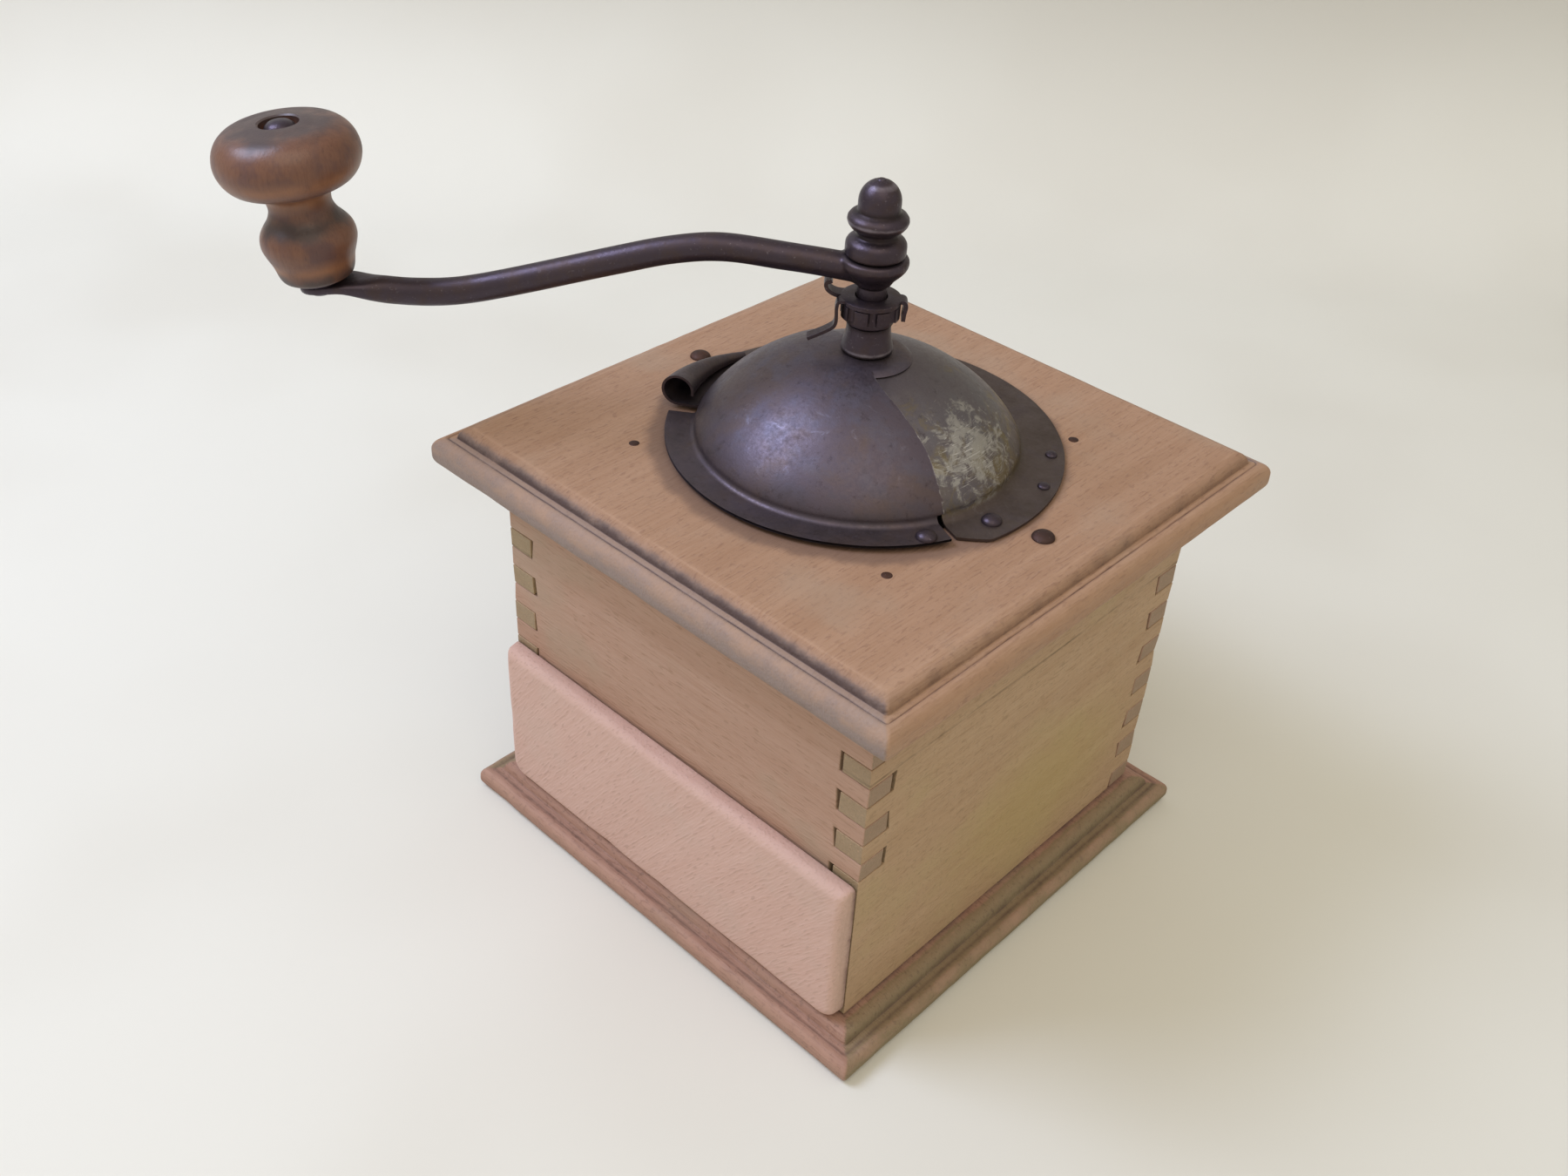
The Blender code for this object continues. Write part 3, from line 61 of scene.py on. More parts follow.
# Sizes shared with the frame
GAP = 0.3 * MM                    # between neighbouring pieces
SHEET = 0.7 * MM                  # the dome's metal
WALL = 8.5 * MM                   # the box's sides
HALF_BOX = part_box("drawer_front")[1].x
BOARD_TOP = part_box("top_board")[1].z
BOARD_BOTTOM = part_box("top_board")[0].z
FLANGE_Z = BOARD_TOP + GAP + SHEET

# Dome
DOME_RADIUS = 41.7 * MM
DOME_HEIGHT = 22.4 * MM
DOME_COVE = 2.6 * MM              # bend at its foot
DOME_FULLNESS = 0.8               # below 1 fills out the shoulder
DOME_HOLE = 5.3 * MM
DOME_RING = 11.5 * MM             # the crown that both shells keep whole
FLANGE_RADIUS = 53.5 * MM
SEAM = -20                        # degrees from +X, as all the reaches are
LID_FLANGE = (-145, -22)
LID_REACH = (-195, SEAM)
FIXED_REACH = (-62, 175)
FIXED_FLANGE = (SEAM, 175)
GRIP_REACH = (-187.5, -150)
GRIP_CENTRE = 49.2 * MM
GRIP_RADIUS = 4.4 * MM

# Crank and knob
KNOB_JOINT = next(j for j in frame["joints"] if j["name"] == "knob_spin")
KNOB_PLACE = Vector(KNOB_JOINT["pos_m"])
KNOB_AXIS = Vector(KNOB_JOINT["axis"]).normalized()
CRANK_TURN = atan2(KNOB_PLACE.y, KNOB_PLACE.x)
CRANK_REACH = hypot(KNOB_PLACE.x, KNOB_PLACE.y)
ACORN_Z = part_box("acorn_nut")[0].z
EYE_HEIGHT = 7.4 * MM
EYE_RADIUS = 8.5 * MM
BAR_RADIUS = 3.45 * MM
PAD_HALF_WIDTH = 5.2 * MM
PAD_THICKNESS = 2.6 * MM
PAD_LEAN = radians(6.6)
KNOB_FOOT = 2.4 * MM              # above the pad's middle
KNOB_LENGTH = 38.4 * MM


# ---- nodes -------------------------------------------------------------------

def linear(code):
    """An sRGB hex colour as linear red, green, blue and alpha."""
    parts = [int(code[i:i + 2], 16) / 255 for i in (1, 3, 5)]
    return (*[c / 12.92 if c <= 0.04045 else ((c + 0.055) / 1.055) ** 2.4 for c in parts], 1.0)


def add(tree, kind, output=0, inputs=None, **settings):
    """Add a node with these settings and inputs, and give back one of its outputs.

    An input is a plain value, or another node's output to link from."""
    node = tree.nodes.new(kind)
    for name, value in settings.items():
        setattr(node, name, value)
    for name, value in (inputs or {}).items():
        if isinstance(value, bpy.types.NodeSocket):
            tree.links.new(value, node.inputs[name])
        else:
            node.inputs[name].default_value = value
    return node.outputs[output]


def lay_over(tree, under, code, mask, low, high, strength=1.0):
    """Lay a colour over another where the mask rises from low to high."""
    amount = add(tree, "ShaderNodeMapRange", 0, {
        "Value": mask, "From Min": low, "From Max": high, "To Max": strength},
        interpolation_type='SMOOTHSTEP')
    return add(tree, "ShaderNodeMix", 2, {0: amount, 6: under, 7: linear(code)}, data_type='RGBA')


def stretched_field(tree, place, lengths, detail=2.0, roughness=0.5, warp=0.0):
    """A soft random field whose blobs have these lengths in millimetres along X, Y, Z."""
    scaled = add(tree, "ShaderNodeMapping", 0, {
        "Vector": place, "Scale": tuple(PER_MM / length for length in lengths)})
    return add(tree, "ShaderNodeTexNoise", 0, {
        "Vector": scaled, "Scale": 1.0, "Detail": detail, "Roughness": roughness, "Distortion": warp})


def start_finish(name):
    """A new material, its node tree, its shader and the place on the piece."""
    material = bpy.data.materials.new(name)
    material.use_nodes = True
    tree = material.node_tree
    place = add(tree, "ShaderNodeTexCoord", "Object")
    return material, tree, tree.nodes["Principled BSDF"], place


def close_finish(tree, shader, colour, roughness, height, depth):
    """Join colour, roughness and a height field, in metres of depth, to the shader."""
    bump = add(tree, "ShaderNodeBump", 0, {"Height": height, "Distance": depth, "Strength": 1.0})
    tree.links.new(colour, shader.inputs["Base Color"])
    tree.links.new(roughness, shader.inputs["Roughness"])
    tree.links.new(bump, shader.inputs["Normal"])


def along(grain, length, width):
    """Field lengths that are long on the grain's axis."""
    return tuple(length if axis == grain else width for axis in "XYZ")


def off_point(tree, place, point, stretch=(1, 1, 1)):
    """Distance in metres from a point of the frame."""
    centred = add(tree, "ShaderNodeMapping", 0, {
        "Vector": place, "Location": tuple(-p * s for p, s in zip(point, stretch)), "Scale": stretch})
    return add(tree, "ShaderNodeVectorMath", "Value", {0: centred}, operation='LENGTH')


# ---- finishes ----------------------------------------------------------------

def planed_beech(name, grain, tones, marks=(), slant=0.0, coarseness=0.62):
    """Beech, planed or sanded, then oiled and handled.

    The eye sees fine even fibre along the grain, short dark ray flecks and broad soft
    figure, end grain that has drunk stain, pale worn edges, and dirt with painted shade
    in the corners, grooves, quirks and coves.
    tones are pale, dark, fleck, end grain, weathered, and painted shade with dirt."""
    material, tree, shader, place = start_finish(name)
    pale, dark, fleck_tone, end_tone, weathered, shade_and_grime_tone = tones
    turned = add(tree, "ShaderNodeMapping", 0, {"Vector": place, "Rotation": (0, slant, 0)})
    fibre = stretched_field(tree, turned, along(grain, 16, 0.55), 3.0, 0.6)
    figure = stretched_field(tree, turned, along(grain, 110, 7), 2.0, 0.5, 0.6)
    fleck = stretched_field(tree, turned, along(grain, 3.4, 0.6), 0.0)
    patch = stretched_field(tree, place, (34, 34, 26), 3.0, 0.55)
    soil = stretched_field(tree, place, (9, 9, 6), 4.0, 0.65)
    ground = add(tree, "ShaderNodeMix", 2, {0: figure, 6: linear(pale), 7: linear(dark)},
                 data_type='RGBA')
    colour = lay_over(tree, ground, dark, fibre, 0.42, 0.68, 0.55)
    colour = lay_over(tree, colour, fleck_tone, fleck, 0.64, 0.74, 0.36)
    colour = lay_over(tree, colour, weathered, patch, 0.5, 0.7, 0.55)
    facing = add(tree, "ShaderNodeTexCoord", "Normal")
    squared = add(tree, "ShaderNodeVectorMath", 0, {0: facing, 1: facing}, operation='MULTIPLY')
    end_face = add(tree, "ShaderNodeSeparateXYZ", grain, {0: squared})
    pores = stretched_field(tree, place, (0.7, 0.7, 0.7), 2.0, 0.7)
    end_mask = add(tree, "ShaderNodeMath", 0, {0: end_face, 1: pores}, operation='MULTIPLY')
    colour = lay_over(tree, colour, end_tone, end_mask, 0.12, 0.5, 0.65)
    for mark in marks:
        colour = mark(tree, place, colour, soil)
    # Painted shade with dirt: darker in grooves, quirks, coves, under the noses and in gaps, as the mesh's
    # attribute says, and more on end grain.
    shade_and_grime = add(tree, "ShaderNodeAttribute", "Fac", attribute_name="shade_and_grime")
    thirst = add(tree, "ShaderNodeMath", 0, {0: end_face, 1: 0.7, 2: 0.55}, operation='MULTIPLY_ADD')
    shade_and_soaked_grime = add(tree, "ShaderNodeMath", 0, {0: shade_and_grime, 1: thirst}, operation='MULTIPLY')
    darkening_share = add(tree, "ShaderNodeMath", 0, {0: shade_and_soaked_grime, 1: soil}, operation='MULTIPLY')
    colour = lay_over(tree, colour, shade_and_grime_tone, darkening_share, 0.04, 0.5, 0.92)
    wear = add(tree, "ShaderNodeAttribute", "Fac", attribute_name="wear")
    rubbed = add(tree, "ShaderNodeMath", 0, {0: wear, 1: soil}, operation='MULTIPLY')
    colour = lay_over(tree, colour, pale, rubbed, 0.2, 0.62, 0.6)
    roughness = add(tree, "ShaderNodeMapRange", 0, {
        "Value": soil, "From Min": 0.3, "From Max": 0.7,
        "To Min": coarseness - 0.1, "To Max": coarseness + 0.12})
    relief = add(tree, "ShaderNodeMath", 0, {0: fibre, 1: 0.6, 2: fleck}, operation='MULTIPLY_ADD')
    close_finish(tree, shader, colour, roughness, relief, 0.12 * MM)
    shader.inputs["Specular IOR Level"].default_value = 0.32
    return material


def stain_round_pins(places, spread):
    """Rust and handling have darkened the wood round each nail and screw."""
    def mark(tree, place, colour, soil):
        for point in places:
            far = off_point(tree, place, point)
            frayed = add(tree, "ShaderNodeMath", 0, {0: soil, 1: 3.0 * MM, 2: far},
                         operation='MULTIPLY_ADD')
            reach = add(tree, "ShaderNodeMath", 0, {0: 1.0, 1: frayed}, operation='SUBTRACT')
            colour = lay_over(tree, colour, "#4d3a33", reach, 1 - spread, 1 - 0.35 * spread, 0.85)
        return colour
    return mark


def dark_round_flange(tree, place, colour, soil):
    """Metal dust darkens the board along the dome's flange."""
    far = off_point(tree, place, (0, 0, BOARD_TOP), (1, 1, 0))
    frayed = add(tree, "ShaderNodeMath", 0, {0: soil, 1: 5.0 * MM, 2: far}, operation='MULTIPLY_ADD')
    near = add(tree, "ShaderNodeMath", 0, {0: 1.0, 1: frayed}, operation='SUBTRACT')
    return lay_over(tree, colour, "#6d5548", near, 1 - (FLANGE_RADIUS + 5.5 * MM),
                    1 - (FLANGE_RADIUS + 2.0 * MM), 0.75)


def painted_shade_under_board(code, low, high, strength):
    """A painted shade that comes in between two heights, broken up by the soil field."""
    def mark(tree, place, colour, soil):
        height = add(tree, "ShaderNodeSeparateXYZ", "Z", {0: place})
        frayed = add(tree, "ShaderNodeMath", 0, {0: soil, 1: 14 * MM, 2: height},
                     operation='MULTIPLY_ADD')
        return lay_over(tree, colour, code, frayed, low + 7 * MM, high + 7 * MM, strength)
    return mark


def stain_at(code, point, spread, stretch=(1, 1, 1), strength=0.6):
    """A soft stain round one place."""
    def mark(tree, place, colour, soil):
        far = off_point(tree, place, point, stretch)
        frayed = add(tree, "ShaderNodeMath", 0, {0: soil, 1: 0.6 * spread, 2: far},
                     operation='MULTIPLY_ADD')
        near = add(tree, "ShaderNodeMath", 0, {0: 1.0, 1: frayed}, operation='SUBTRACT')
        return lay_over(tree, colour, code, near, 1 - 1.5 * spread, 1 - 0.5 * spread, strength)
    return mark


def tinted_sides(code, axis, reach, strength):
    """A tone on the two sides that face along an axis, outside a reach from the middle."""
    def mark(tree, place, colour, soil):
        folded = add(tree, "ShaderNodeVectorMath", 0, {0: place}, operation='ABSOLUTE')
        mine = add(tree, "ShaderNodeSeparateXYZ", axis, {0: folded})
        other = add(tree, "ShaderNodeSeparateXYZ", "Y" if axis == "X" else "X", {0: folded})
        lead = add(tree, "ShaderNodeMath", 0, {0: mine, 1: other}, operation='SUBTRACT')
        wide = add(tree, "ShaderNodeMath", 0, {0: mine, 1: reach}, operation='SUBTRACT')
        share = add(tree, "ShaderNodeMath", 0, {0: lead, 1: wide}, operation='MINIMUM')
        frayed = add(tree, "ShaderNodeMath", 0, {0: soil, 1: 3 * MM, 2: share},
                     operation='MULTIPLY_ADD')
        return lay_over(tree, colour, code, frayed, 1.2 * MM, 2.6 * MM, strength)
    return mark


def speckled(code, strength):
    """Small dark spots of mould and dirt in open pores."""
    def mark(tree, place, colour, soil):
        spots = stretched_field(tree, place, (1.3, 1.3, 1.3), 2.0, 0.7)
        return lay_over(tree, colour, code, spots, 0.55, 0.68, strength)
    return mark


def glue_line(height, code):
    """The thin dark joint between two boards of a wall, gone here and there."""
    def mark(tree, place, colour, soil):
        level = add(tree, "ShaderNodeSeparateXYZ", "Z", {0: place})
        sway = stretched_field(tree, place, (60, 60, 200), 1.0)
        swayed = add(tree, "ShaderNodeMath", 0, {0: sway, 1: -3.0 * MM, 2: level},
                     operation='MULTIPLY_ADD')
        in_joint = add(tree, "ShaderNodeMath", 0, {0: swayed, 1: height - 1.5 * MM, 2: 0.35 * MM},
                       operation='COMPARE')
        darkening_share = add(tree, "ShaderNodeMath", 0, {0: in_joint, 1: soil}, operation='MULTIPLY')
        tight = stretched_field(tree, place, (14, 14, 60), 2.0)
        broken = add(tree, "ShaderNodeMath", 0, {0: darkening_share, 1: tight}, operation='MULTIPLY')
        return lay_over(tree, colour, code, broken, 0.12, 0.42, 0.6)
    return mark


def patinated_sheet(name, tones, extra=None):
    """Drawn sheet steel under an old patina.

    The eye sees a satin purple-brown metal, clouded warm and cool, pitted dark, and
    rubbed to a bluish sheen where hands go.
    tones are the patina, its warm clouds, its cool clouds and the rubbed metal."""
    material, tree, shader, place = start_finish(name)
    patina, warm, cool, rubbed_tone = tones
    cloud = stretched_field(tree, place, (16, 16, 16), 4.0, 0.6, 0.4)
    drift = stretched_field(tree, place, (7, 7, 5), 3.0, 0.6)
    speck = stretched_field(tree, place, (0.9, 0.9, 0.9), 3.0, 0.7)
    rub = stretched_field(tree, place, (4.5, 4.5, 3), 5.0, 0.7, 0.8)
    colour = lay_over(tree, linear(patina), warm, cloud, 0.42, 0.66, 0.6)
    colour = lay_over(tree, colour, cool, drift, 0.42, 0.7, 0.45)
    colour = lay_over(tree, colour, rubbed_tone, rub, 0.6, 0.78, 0.4)
    pits = stretched_field(tree, place, (2.4, 2.4, 2.4), 4.0, 0.75)
    colour = lay_over(tree, colour, "#3b3236", pits, 0.54, 0.72, 0.5)
    colour = lay_over(tree, colour, patina, speck, 0.55, 0.75, 0.5)
    if extra:
        colour = extra(tree, place, colour, rub)
    # Painted shade with dust in the cove at the foot and round the sleeve, as the mesh's attribute says.
    shade_and_grime = add(tree, "ShaderNodeAttribute", "Fac", attribute_name="shade_and_grime")
    darkening_share = add(tree, "ShaderNodeMath", 0, {0: shade_and_grime, 1: drift}, operation='MULTIPLY')
    colour = lay_over(tree, colour, "#41342c", darkening_share, 0.1, 0.6, 0.8)
    wear = add(tree, "ShaderNodeAttribute", "Fac", attribute_name="wear")
    rubbed = add(tree, "ShaderNodeMath", 0, {0: wear, 1: rub}, operation='MULTIPLY')
    colour = lay_over(tree, colour, "#b5b1ae", rubbed, 0.3, 0.6, 0.7)
    sheen = add(tree, "ShaderNodeMath", 0, {0: rub, 1: speck}, operation='ADD')
    roughness = add(tree, "ShaderNodeMapRange", 0, {
        "Value": sheen, "From Min": 0.75, "From Max": 1.3, "To Min": 0.56, "To Max": 0.36})
    close_finish(tree, shader, colour, roughness, speck, 0.035 * MM)
    shader.inputs["Metallic"].default_value = 0.85
    return material


def old_varnish(tree, place, colour, rub):
    """Olive varnish low on the fixed shell, and bare scratched metal by the seam."""
    film = stretched_field(tree, place, (9, 9, 6), 4.0, 0.65, 0.8)
    height = add(tree, "ShaderNodeSeparateXYZ", "Z", {0: place})
    low_film = add(tree, "ShaderNodeMapRange", 0, {
        "Value": height, "From Min": FLANGE_Z + 2 * MM, "From Max": FLANGE_Z + 22 * MM,
        "To Min": 0.1, "To Max": -0.12})
    film = add(tree, "ShaderNodeMath", 0, {0: film, 1: low_film}, operation='ADD')
    colour = lay_over(tree, colour, "#7c6f4e", film, 0.46, 0.64, 0.75)
    near = off_point(tree, place, (37 * MM, 2 * MM, 142 * MM), (1, 0.8, 1))
    close = add(tree, "ShaderNodeMapRange", 0, {
        "Value": near, "From Min": 4 * MM, "From Max": 22 * MM, "To Min": 0.14, "To Max": -0.1})
    bare = add(tree, "ShaderNodeMath", 0, {0: rub, 1: close}, operation='ADD')
    colour = lay_over(tree, colour, "#a9a69f", bare, 0.52, 0.68, 0.8)
    round_axis = add(tree, "ShaderNodeUVMap", 0, uv_map="sheet")
    strokes = stretched_field(tree, round_axis, (4.5, 0.35, 1), 3.0, 0.7, 0.6)
    scratched = add(tree, "ShaderNodeMath", 0, {0: strokes, 1: close}, operation='ADD')
    colour = lay_over(tree, colour, "#d2cfca", scratched, 0.66, 0.8, 0.75)
    on_flange = add(tree, "ShaderNodeMath", 0, {0: 1.0, 1: height}, operation='SUBTRACT')
    crown = add(tree, "ShaderNodeMath", 0, {0: rub, 1: 9 * MM, 2: height}, operation='MULTIPLY_ADD')
    colour = lay_over(tree, colour, "#5f575b", crown, FLANGE_Z + 22 * MM, FLANGE_Z + 29 * MM, 0.85)
    return lay_over(tree, colour, "#5a4f50", on_flange, 1 - FLANGE_Z - 2.4 * MM,
                    1 - FLANGE_Z - 0.6 * MM, 0.85)


def forged_iron(name, base, warm, coarseness):
    """Forged and turned iron, browned and handled.

    The eye sees a dull purple-brown metal, its edges satin and its grooves black with
    painted shade and dirt."""
    material, tree, shader, place = start_finish(name)
    cloud = stretched_field(tree, place, (6, 6, 6), 4.0, 0.65)
    speck = stretched_field(tree, place, (0.8, 0.8, 0.8), 2.0, 0.6)
    colour = lay_over(tree, linear(base), warm, cloud, 0.42, 0.68, 0.7)
    colour = lay_over(tree, colour, "#8c8288", speck, 0.62, 0.8, 0.35)
    wear = add(tree, "ShaderNodeAttribute", "Fac", attribute_name="wear")
    rubbed = add(tree, "ShaderNodeMath", 0, {0: wear, 1: cloud}, operation='MULTIPLY')
    colour = lay_over(tree, colour, "#8f8790", rubbed, 0.2, 0.6, 0.6)
    # Painted shade with dirt in the grooves and where parts meet, as the mesh's attribute says.
    shade_and_grime = add(tree, "ShaderNodeAttribute", "Fac", attribute_name="shade_and_grime")
    colour = lay_over(tree, colour, "#1e1716", shade_and_grime, 0.2, 1.0, 0.8)
    roughness = add(tree, "ShaderNodeMapRange", 0, {
        "Value": cloud, "From Min": 0.3, "From Max": 0.7,
        "To Min": coarseness - 0.08, "To Max": coarseness + 0.1})
    relief = add(tree, "ShaderNodeMath", 0, {0: cloud, 1: 2.0, 2: speck}, operation='MULTIPLY_ADD')
    close_finish(tree, shader, colour, roughness, relief, 0.05 * MM)
    shader.inputs["Metallic"].default_value = 0.8
    return material


def polished_beech(name):
    """Turned beech, stained red-brown and waxed.

    The eye sees a low gloss, dark in the creases with painted shade and dirt, and
    orange where a hand has rubbed the stain thin."""
    material, tree, shader, place = start_finish(name)
    fibre = stretched_field(tree, place, (0.7, 0.7, 14), 3.0, 0.6)
    cloud = stretched_field(tree, place, (8, 8, 10), 3.0, 0.6)
    speck = stretched_field(tree, place, (0.6, 0.6, 2.4), 1.0)
    colour = lay_over(tree, linear("#6f4b39"), "#5b3a2c", fibre, 0.4, 0.66, 0.4)
    colour = lay_over(tree, colour, "#50393a", cloud, 0.42, 0.66, 0.75)
    colour = lay_over(tree, colour, "#3f2a25", speck, 0.64, 0.76, 0.3)
    wear = add(tree, "ShaderNodeAttribute", "Fac", attribute_name="wear")
    rubbed = add(tree, "ShaderNodeMath", 0, {0: wear, 1: cloud}, operation='MULTIPLY')
    colour = lay_over(tree, colour, "#8f6242", rubbed, 0.22, 0.62, 0.75)
    # Painted shade with dirt in the creases, as the mesh's attribute says.
    shade_and_grime = add(tree, "ShaderNodeAttribute", "Fac", attribute_name="shade_and_grime")
    darkening_share = add(tree, "ShaderNodeMath", 0, {0: shade_and_grime, 1: cloud}, operation='MULTIPLY')
    colour = lay_over(tree, colour, "#3d302d", darkening_share, 0.1, 0.5, 0.9)
    roughness = add(tree, "ShaderNodeMapRange", 0, {
        "Value": cloud, "From Min": 0.3, "From Max": 0.7, "To Min": 0.3, "To Max": 0.48})
    close_finish(tree, shader, colour, roughness, fibre, 0.06 * MM)
    return material


def studio_paper():
    """Matt pale paper with a faint mottle, and a painted shade that darkens it where it rises behind."""
    material, tree, shader, place = start_finish("studio_paper")
    cloud = stretched_field(tree, place, (180, 180, 180), 2.0)
    height = add(tree, "ShaderNodeSeparateXYZ", "Z", {0: place})
    colour = lay_over(tree, linear("#deddd2"), "#d8d6ca", cloud, 0.4, 0.7)
    # Painted shade: darker with height, where the paper rises behind.
    colour = lay_over(tree, colour, "#c2bfb6", height, 0.01, 0.2)
    tree.links.new(colour, shader.inputs["Base Color"])
    shader.inputs["Roughness"].default_value = 0.85
    return material


# ---- meshes ------------------------------------------------------------------

def middle_of(node):
    """The middle of a CAD node's box."""
    low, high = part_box(node)
    return (low + high) / 2


def arc(centre_r, centre_z, radius, start, end, steps):
    """Points (r, z) on an arc, with start and end in degrees."""
    return [(centre_r + radius * cos(radians(start + (end - start) * k / steps)),
             centre_z + radius * sin(radians(start + (end - start) * k / steps)))
            for k in range(steps + 1)]


def smooth_line(points, steps):
    """A Catmull-Rom curve through the points, with steps pieces between each two."""
    first = tuple(2 * a - b for a, b in zip(points[0], points[1]))
    last = tuple(2 * a - b for a, b in zip(points[-1], points[-2]))
    padded = [first, *points, last]
    result = []
    for index in range(1, len(padded) - 2):
        before, start, end, after = padded[index - 1:index + 3]
        for step in range(steps):
            t = step / steps
            result.append(tuple(
                0.5 * (2 * s + (e - b) * t + (2 * b - 5 * s + 4 * e - a) * t ** 2
                       + (3 * s - b - 3 * e + a) * t ** 3)
                for b, s, e, a in zip(before, start, end, after)))
    result.append(points[-1])
    return result


def lofted(rings, closed=False):
    """Faces through rings of points: capped at both ends, or closed on itself."""
    bm = bmesh.new()
    loops = [[bm.verts.new(point) for point in ring] for ring in rings]
    following = loops[1:] + ([loops[0]] if closed else [])
    for lower, upper in zip(loops, following):
        for index, vert in enumerate(lower):
            after = (index + 1) % len(lower)
            bm.faces.new((vert, lower[after], upper[after], upper[index]))
    if not closed:
        bm.faces.new(loops[0])
        bm.faces.new(loops[-1])
    return bm


def lathed(outline, segments=64):
    """A solid turned round Z from (radius, height) points."""
    rings = [[(r * cos(2 * pi * k / segments), r * sin(2 * pi * k / segments), z)
              for k in range(segments)] for r, z in outline]
    bm = lofted(rings, closed=True)
    bmesh.ops.remove_doubles(bm, verts=bm.verts, dist=0.002 * MM)
    return bm


def put_together(parts):
    """One bmesh from several closed ones, each with its faces turned outwards."""
    whole = bmesh.new()
    scrap = bpy.data.meshes.new("scrap")
    for part in parts:
        bmesh.ops.recalc_face_normals(part, faces=part.faces)
        part.to_mesh(scrap)
        part.free()
        whole.from_mesh(scrap)
    bpy.data.meshes.remove(scrap)
    return whole


def put_in_scene(name, data):
    """A new object that shows this mesh, lamp or camera."""
    item = bpy.data.objects.new(name, data)
    bpy.context.scene.collection.objects.link(item)
    return item


def mesh_of(name, bm):
    """A bmesh as a mesh, with the bmesh freed."""
    mesh = bpy.data.meshes.new(name)
    bm.to_mesh(mesh)
    bm.free()
    return mesh


def make_plain(item):
    """Turn an object's modifiers into its own mesh."""
    depsgraph = bpy.context.evaluated_depsgraph_get()
    result = bpy.data.meshes.new_from_object(item.evaluated_get(depsgraph))
    item.modifiers.clear()
    item.data = result


def settle(item, body, nodes):
    """Let a piece ride on a body, in place of CAD nodes."""
    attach(item, body)
    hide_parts(*nodes)


def make_piece(name, bm, material, body, nodes, crease=35, marks=None, place=None):
    """Turn a bmesh into a piece that rides on a body and stands for CAD nodes.

    marks gives, for each attribute name, a rule from a point to a share, and crease is
    the angle in degrees past which an edge stays sharp."""
    bmesh.ops.recalc_face_normals(bm, faces=bm.faces)
    mesh = mesh_of(name, bm)
    for label, rule in (marks or {}).items():
        layer = mesh.attributes.new(label, 'FLOAT', 'POINT')
        for index, vert in enumerate(mesh.vertices):
            layer.data[index].value = rule(vert.co)
    if place:
        mesh.transform(place)
    mesh.materials.append(material)
    mesh.shade_smooth()
    mesh.set_sharp_from_angle(angle=radians(crease))
    item = put_in_scene(name, mesh)
    settle(item, body, nodes)
    return item


def keep_faces_flat(item):
    """Shade flat faces flat beside rounded edges."""
    keep = item.modifiers.new("even_normals", 'WEIGHTED_NORMAL')
    keep.keep_sharp = True


def ease_edges(item, width, segments=2):
    """Round the sharp edges a little, as handling and a file do."""
    bevel = item.modifiers.new("eased_edges", 'BEVEL')
    bevel.width = width
    bevel.segments = segments
    bevel.limit_method = 'ANGLE'
    bevel.angle_limit = radians(30)


def eased_copy(node, name, material, body, edge=0.3 * MM, shift=None):
    """A copy of a CAD node with its sharp edges eased, and its corners moved by shift."""
    bm = bmesh.new()
    bm.from_mesh(frame["nodes"][node].data)
    bmesh.ops.remove_doubles(bm, verts=bm.verts, dist=0.002 * MM)
    bmesh.ops.dissolve_limit(bm, angle_limit=radians(0.5), verts=bm.verts, edges=bm.edges)
    if shift:
        for vert in bm.verts:
            vert.co = shift(vert.co)
    item = make_piece(name, bm, material, body, [node], crease=30)
    ease_edges(item, edge)
    keep_faces_flat(item)


# ---- boards ------------------------------------------------------------------

# Sizes of the mouldings
CORNER_RADIUS = 0.9 * MM
SIDE_STEPS = 44
CORNER_STEPS = 5
TOP_NOSE_RADIUS = 3.4 * MM
TOP_NOSE_HEIGHT = 8.75 * MM
TOP_COVE_RADIUS = 3.0 * MM
DOME_REBATE_RADIUS = 43.5 * MM
DOME_REBATE_DEPTH = 1.3 * MM
BOWL_HOLE_RADIUS = 40 * MM
BASE_NOSE_RADIUS = 2.6 * MM
BASE_NOSE_HEIGHT = 6.5 * MM


def rounded_loop(half_wide, half_high, corners, corner_steps, side_steps):
    """Points round a rectangle, given the radius of each corner from the top right."""
    bends = []
    for quarter, (right, up) in enumerate(((1, 1), (-1, 1), (-1, -1), (1, -1))):
        radius = corners[quarter]
        bends.append([
            Vector((right * (half_wide - radius) + radius * cos(turn),
                    up * (half_high - radius) + radius * sin(turn)))
            for turn in (pi / 2 * (quarter + step / corner_steps) for step in range(corner_steps + 1))])
    points = []
    for bend, after in zip(bends, bends[1:] + bends[:1]):
        points += bend
        points += [bend[-1].lerp(after[0], k / side_steps) for k in range(1, side_steps)]
    return points


def square_loop(half, z, corner):
    """Points round a square whose corners are rounded."""
    return [Vector((p.x, p.y, z)) for p in rounded_loop(half, half, [corner] * 4, CORNER_STEPS, SIDE_STEPS)]


def circle_loop(like, radius, z):
    """A circle with a point for each point of a square loop, at the same angle."""
    return [Vector((radius * cos(atan2(p.y, p.x)), radius * sin(atan2(p.y, p.x)), z)) for p in like]


def worn(point, half, depth, seed):
    """Pull a point of a board's edge in a little, as knocks and handling do."""
    rough = noise.noise(point * 160 + Vector((seed, 0, 0)))
    knock = max(noise.noise(point * 55 + Vector((0, seed, 0))) - 0.25, 0) * 2.2
    pull = depth * (0.35 + 0.65 * rough + 1.6 * knock)
    inward = Vector((-point.x, -point.y, 0)) / half
    keep = max(abs(point.x), abs(point.y)) / half
    return point + inward * max(pull, 0) * keep


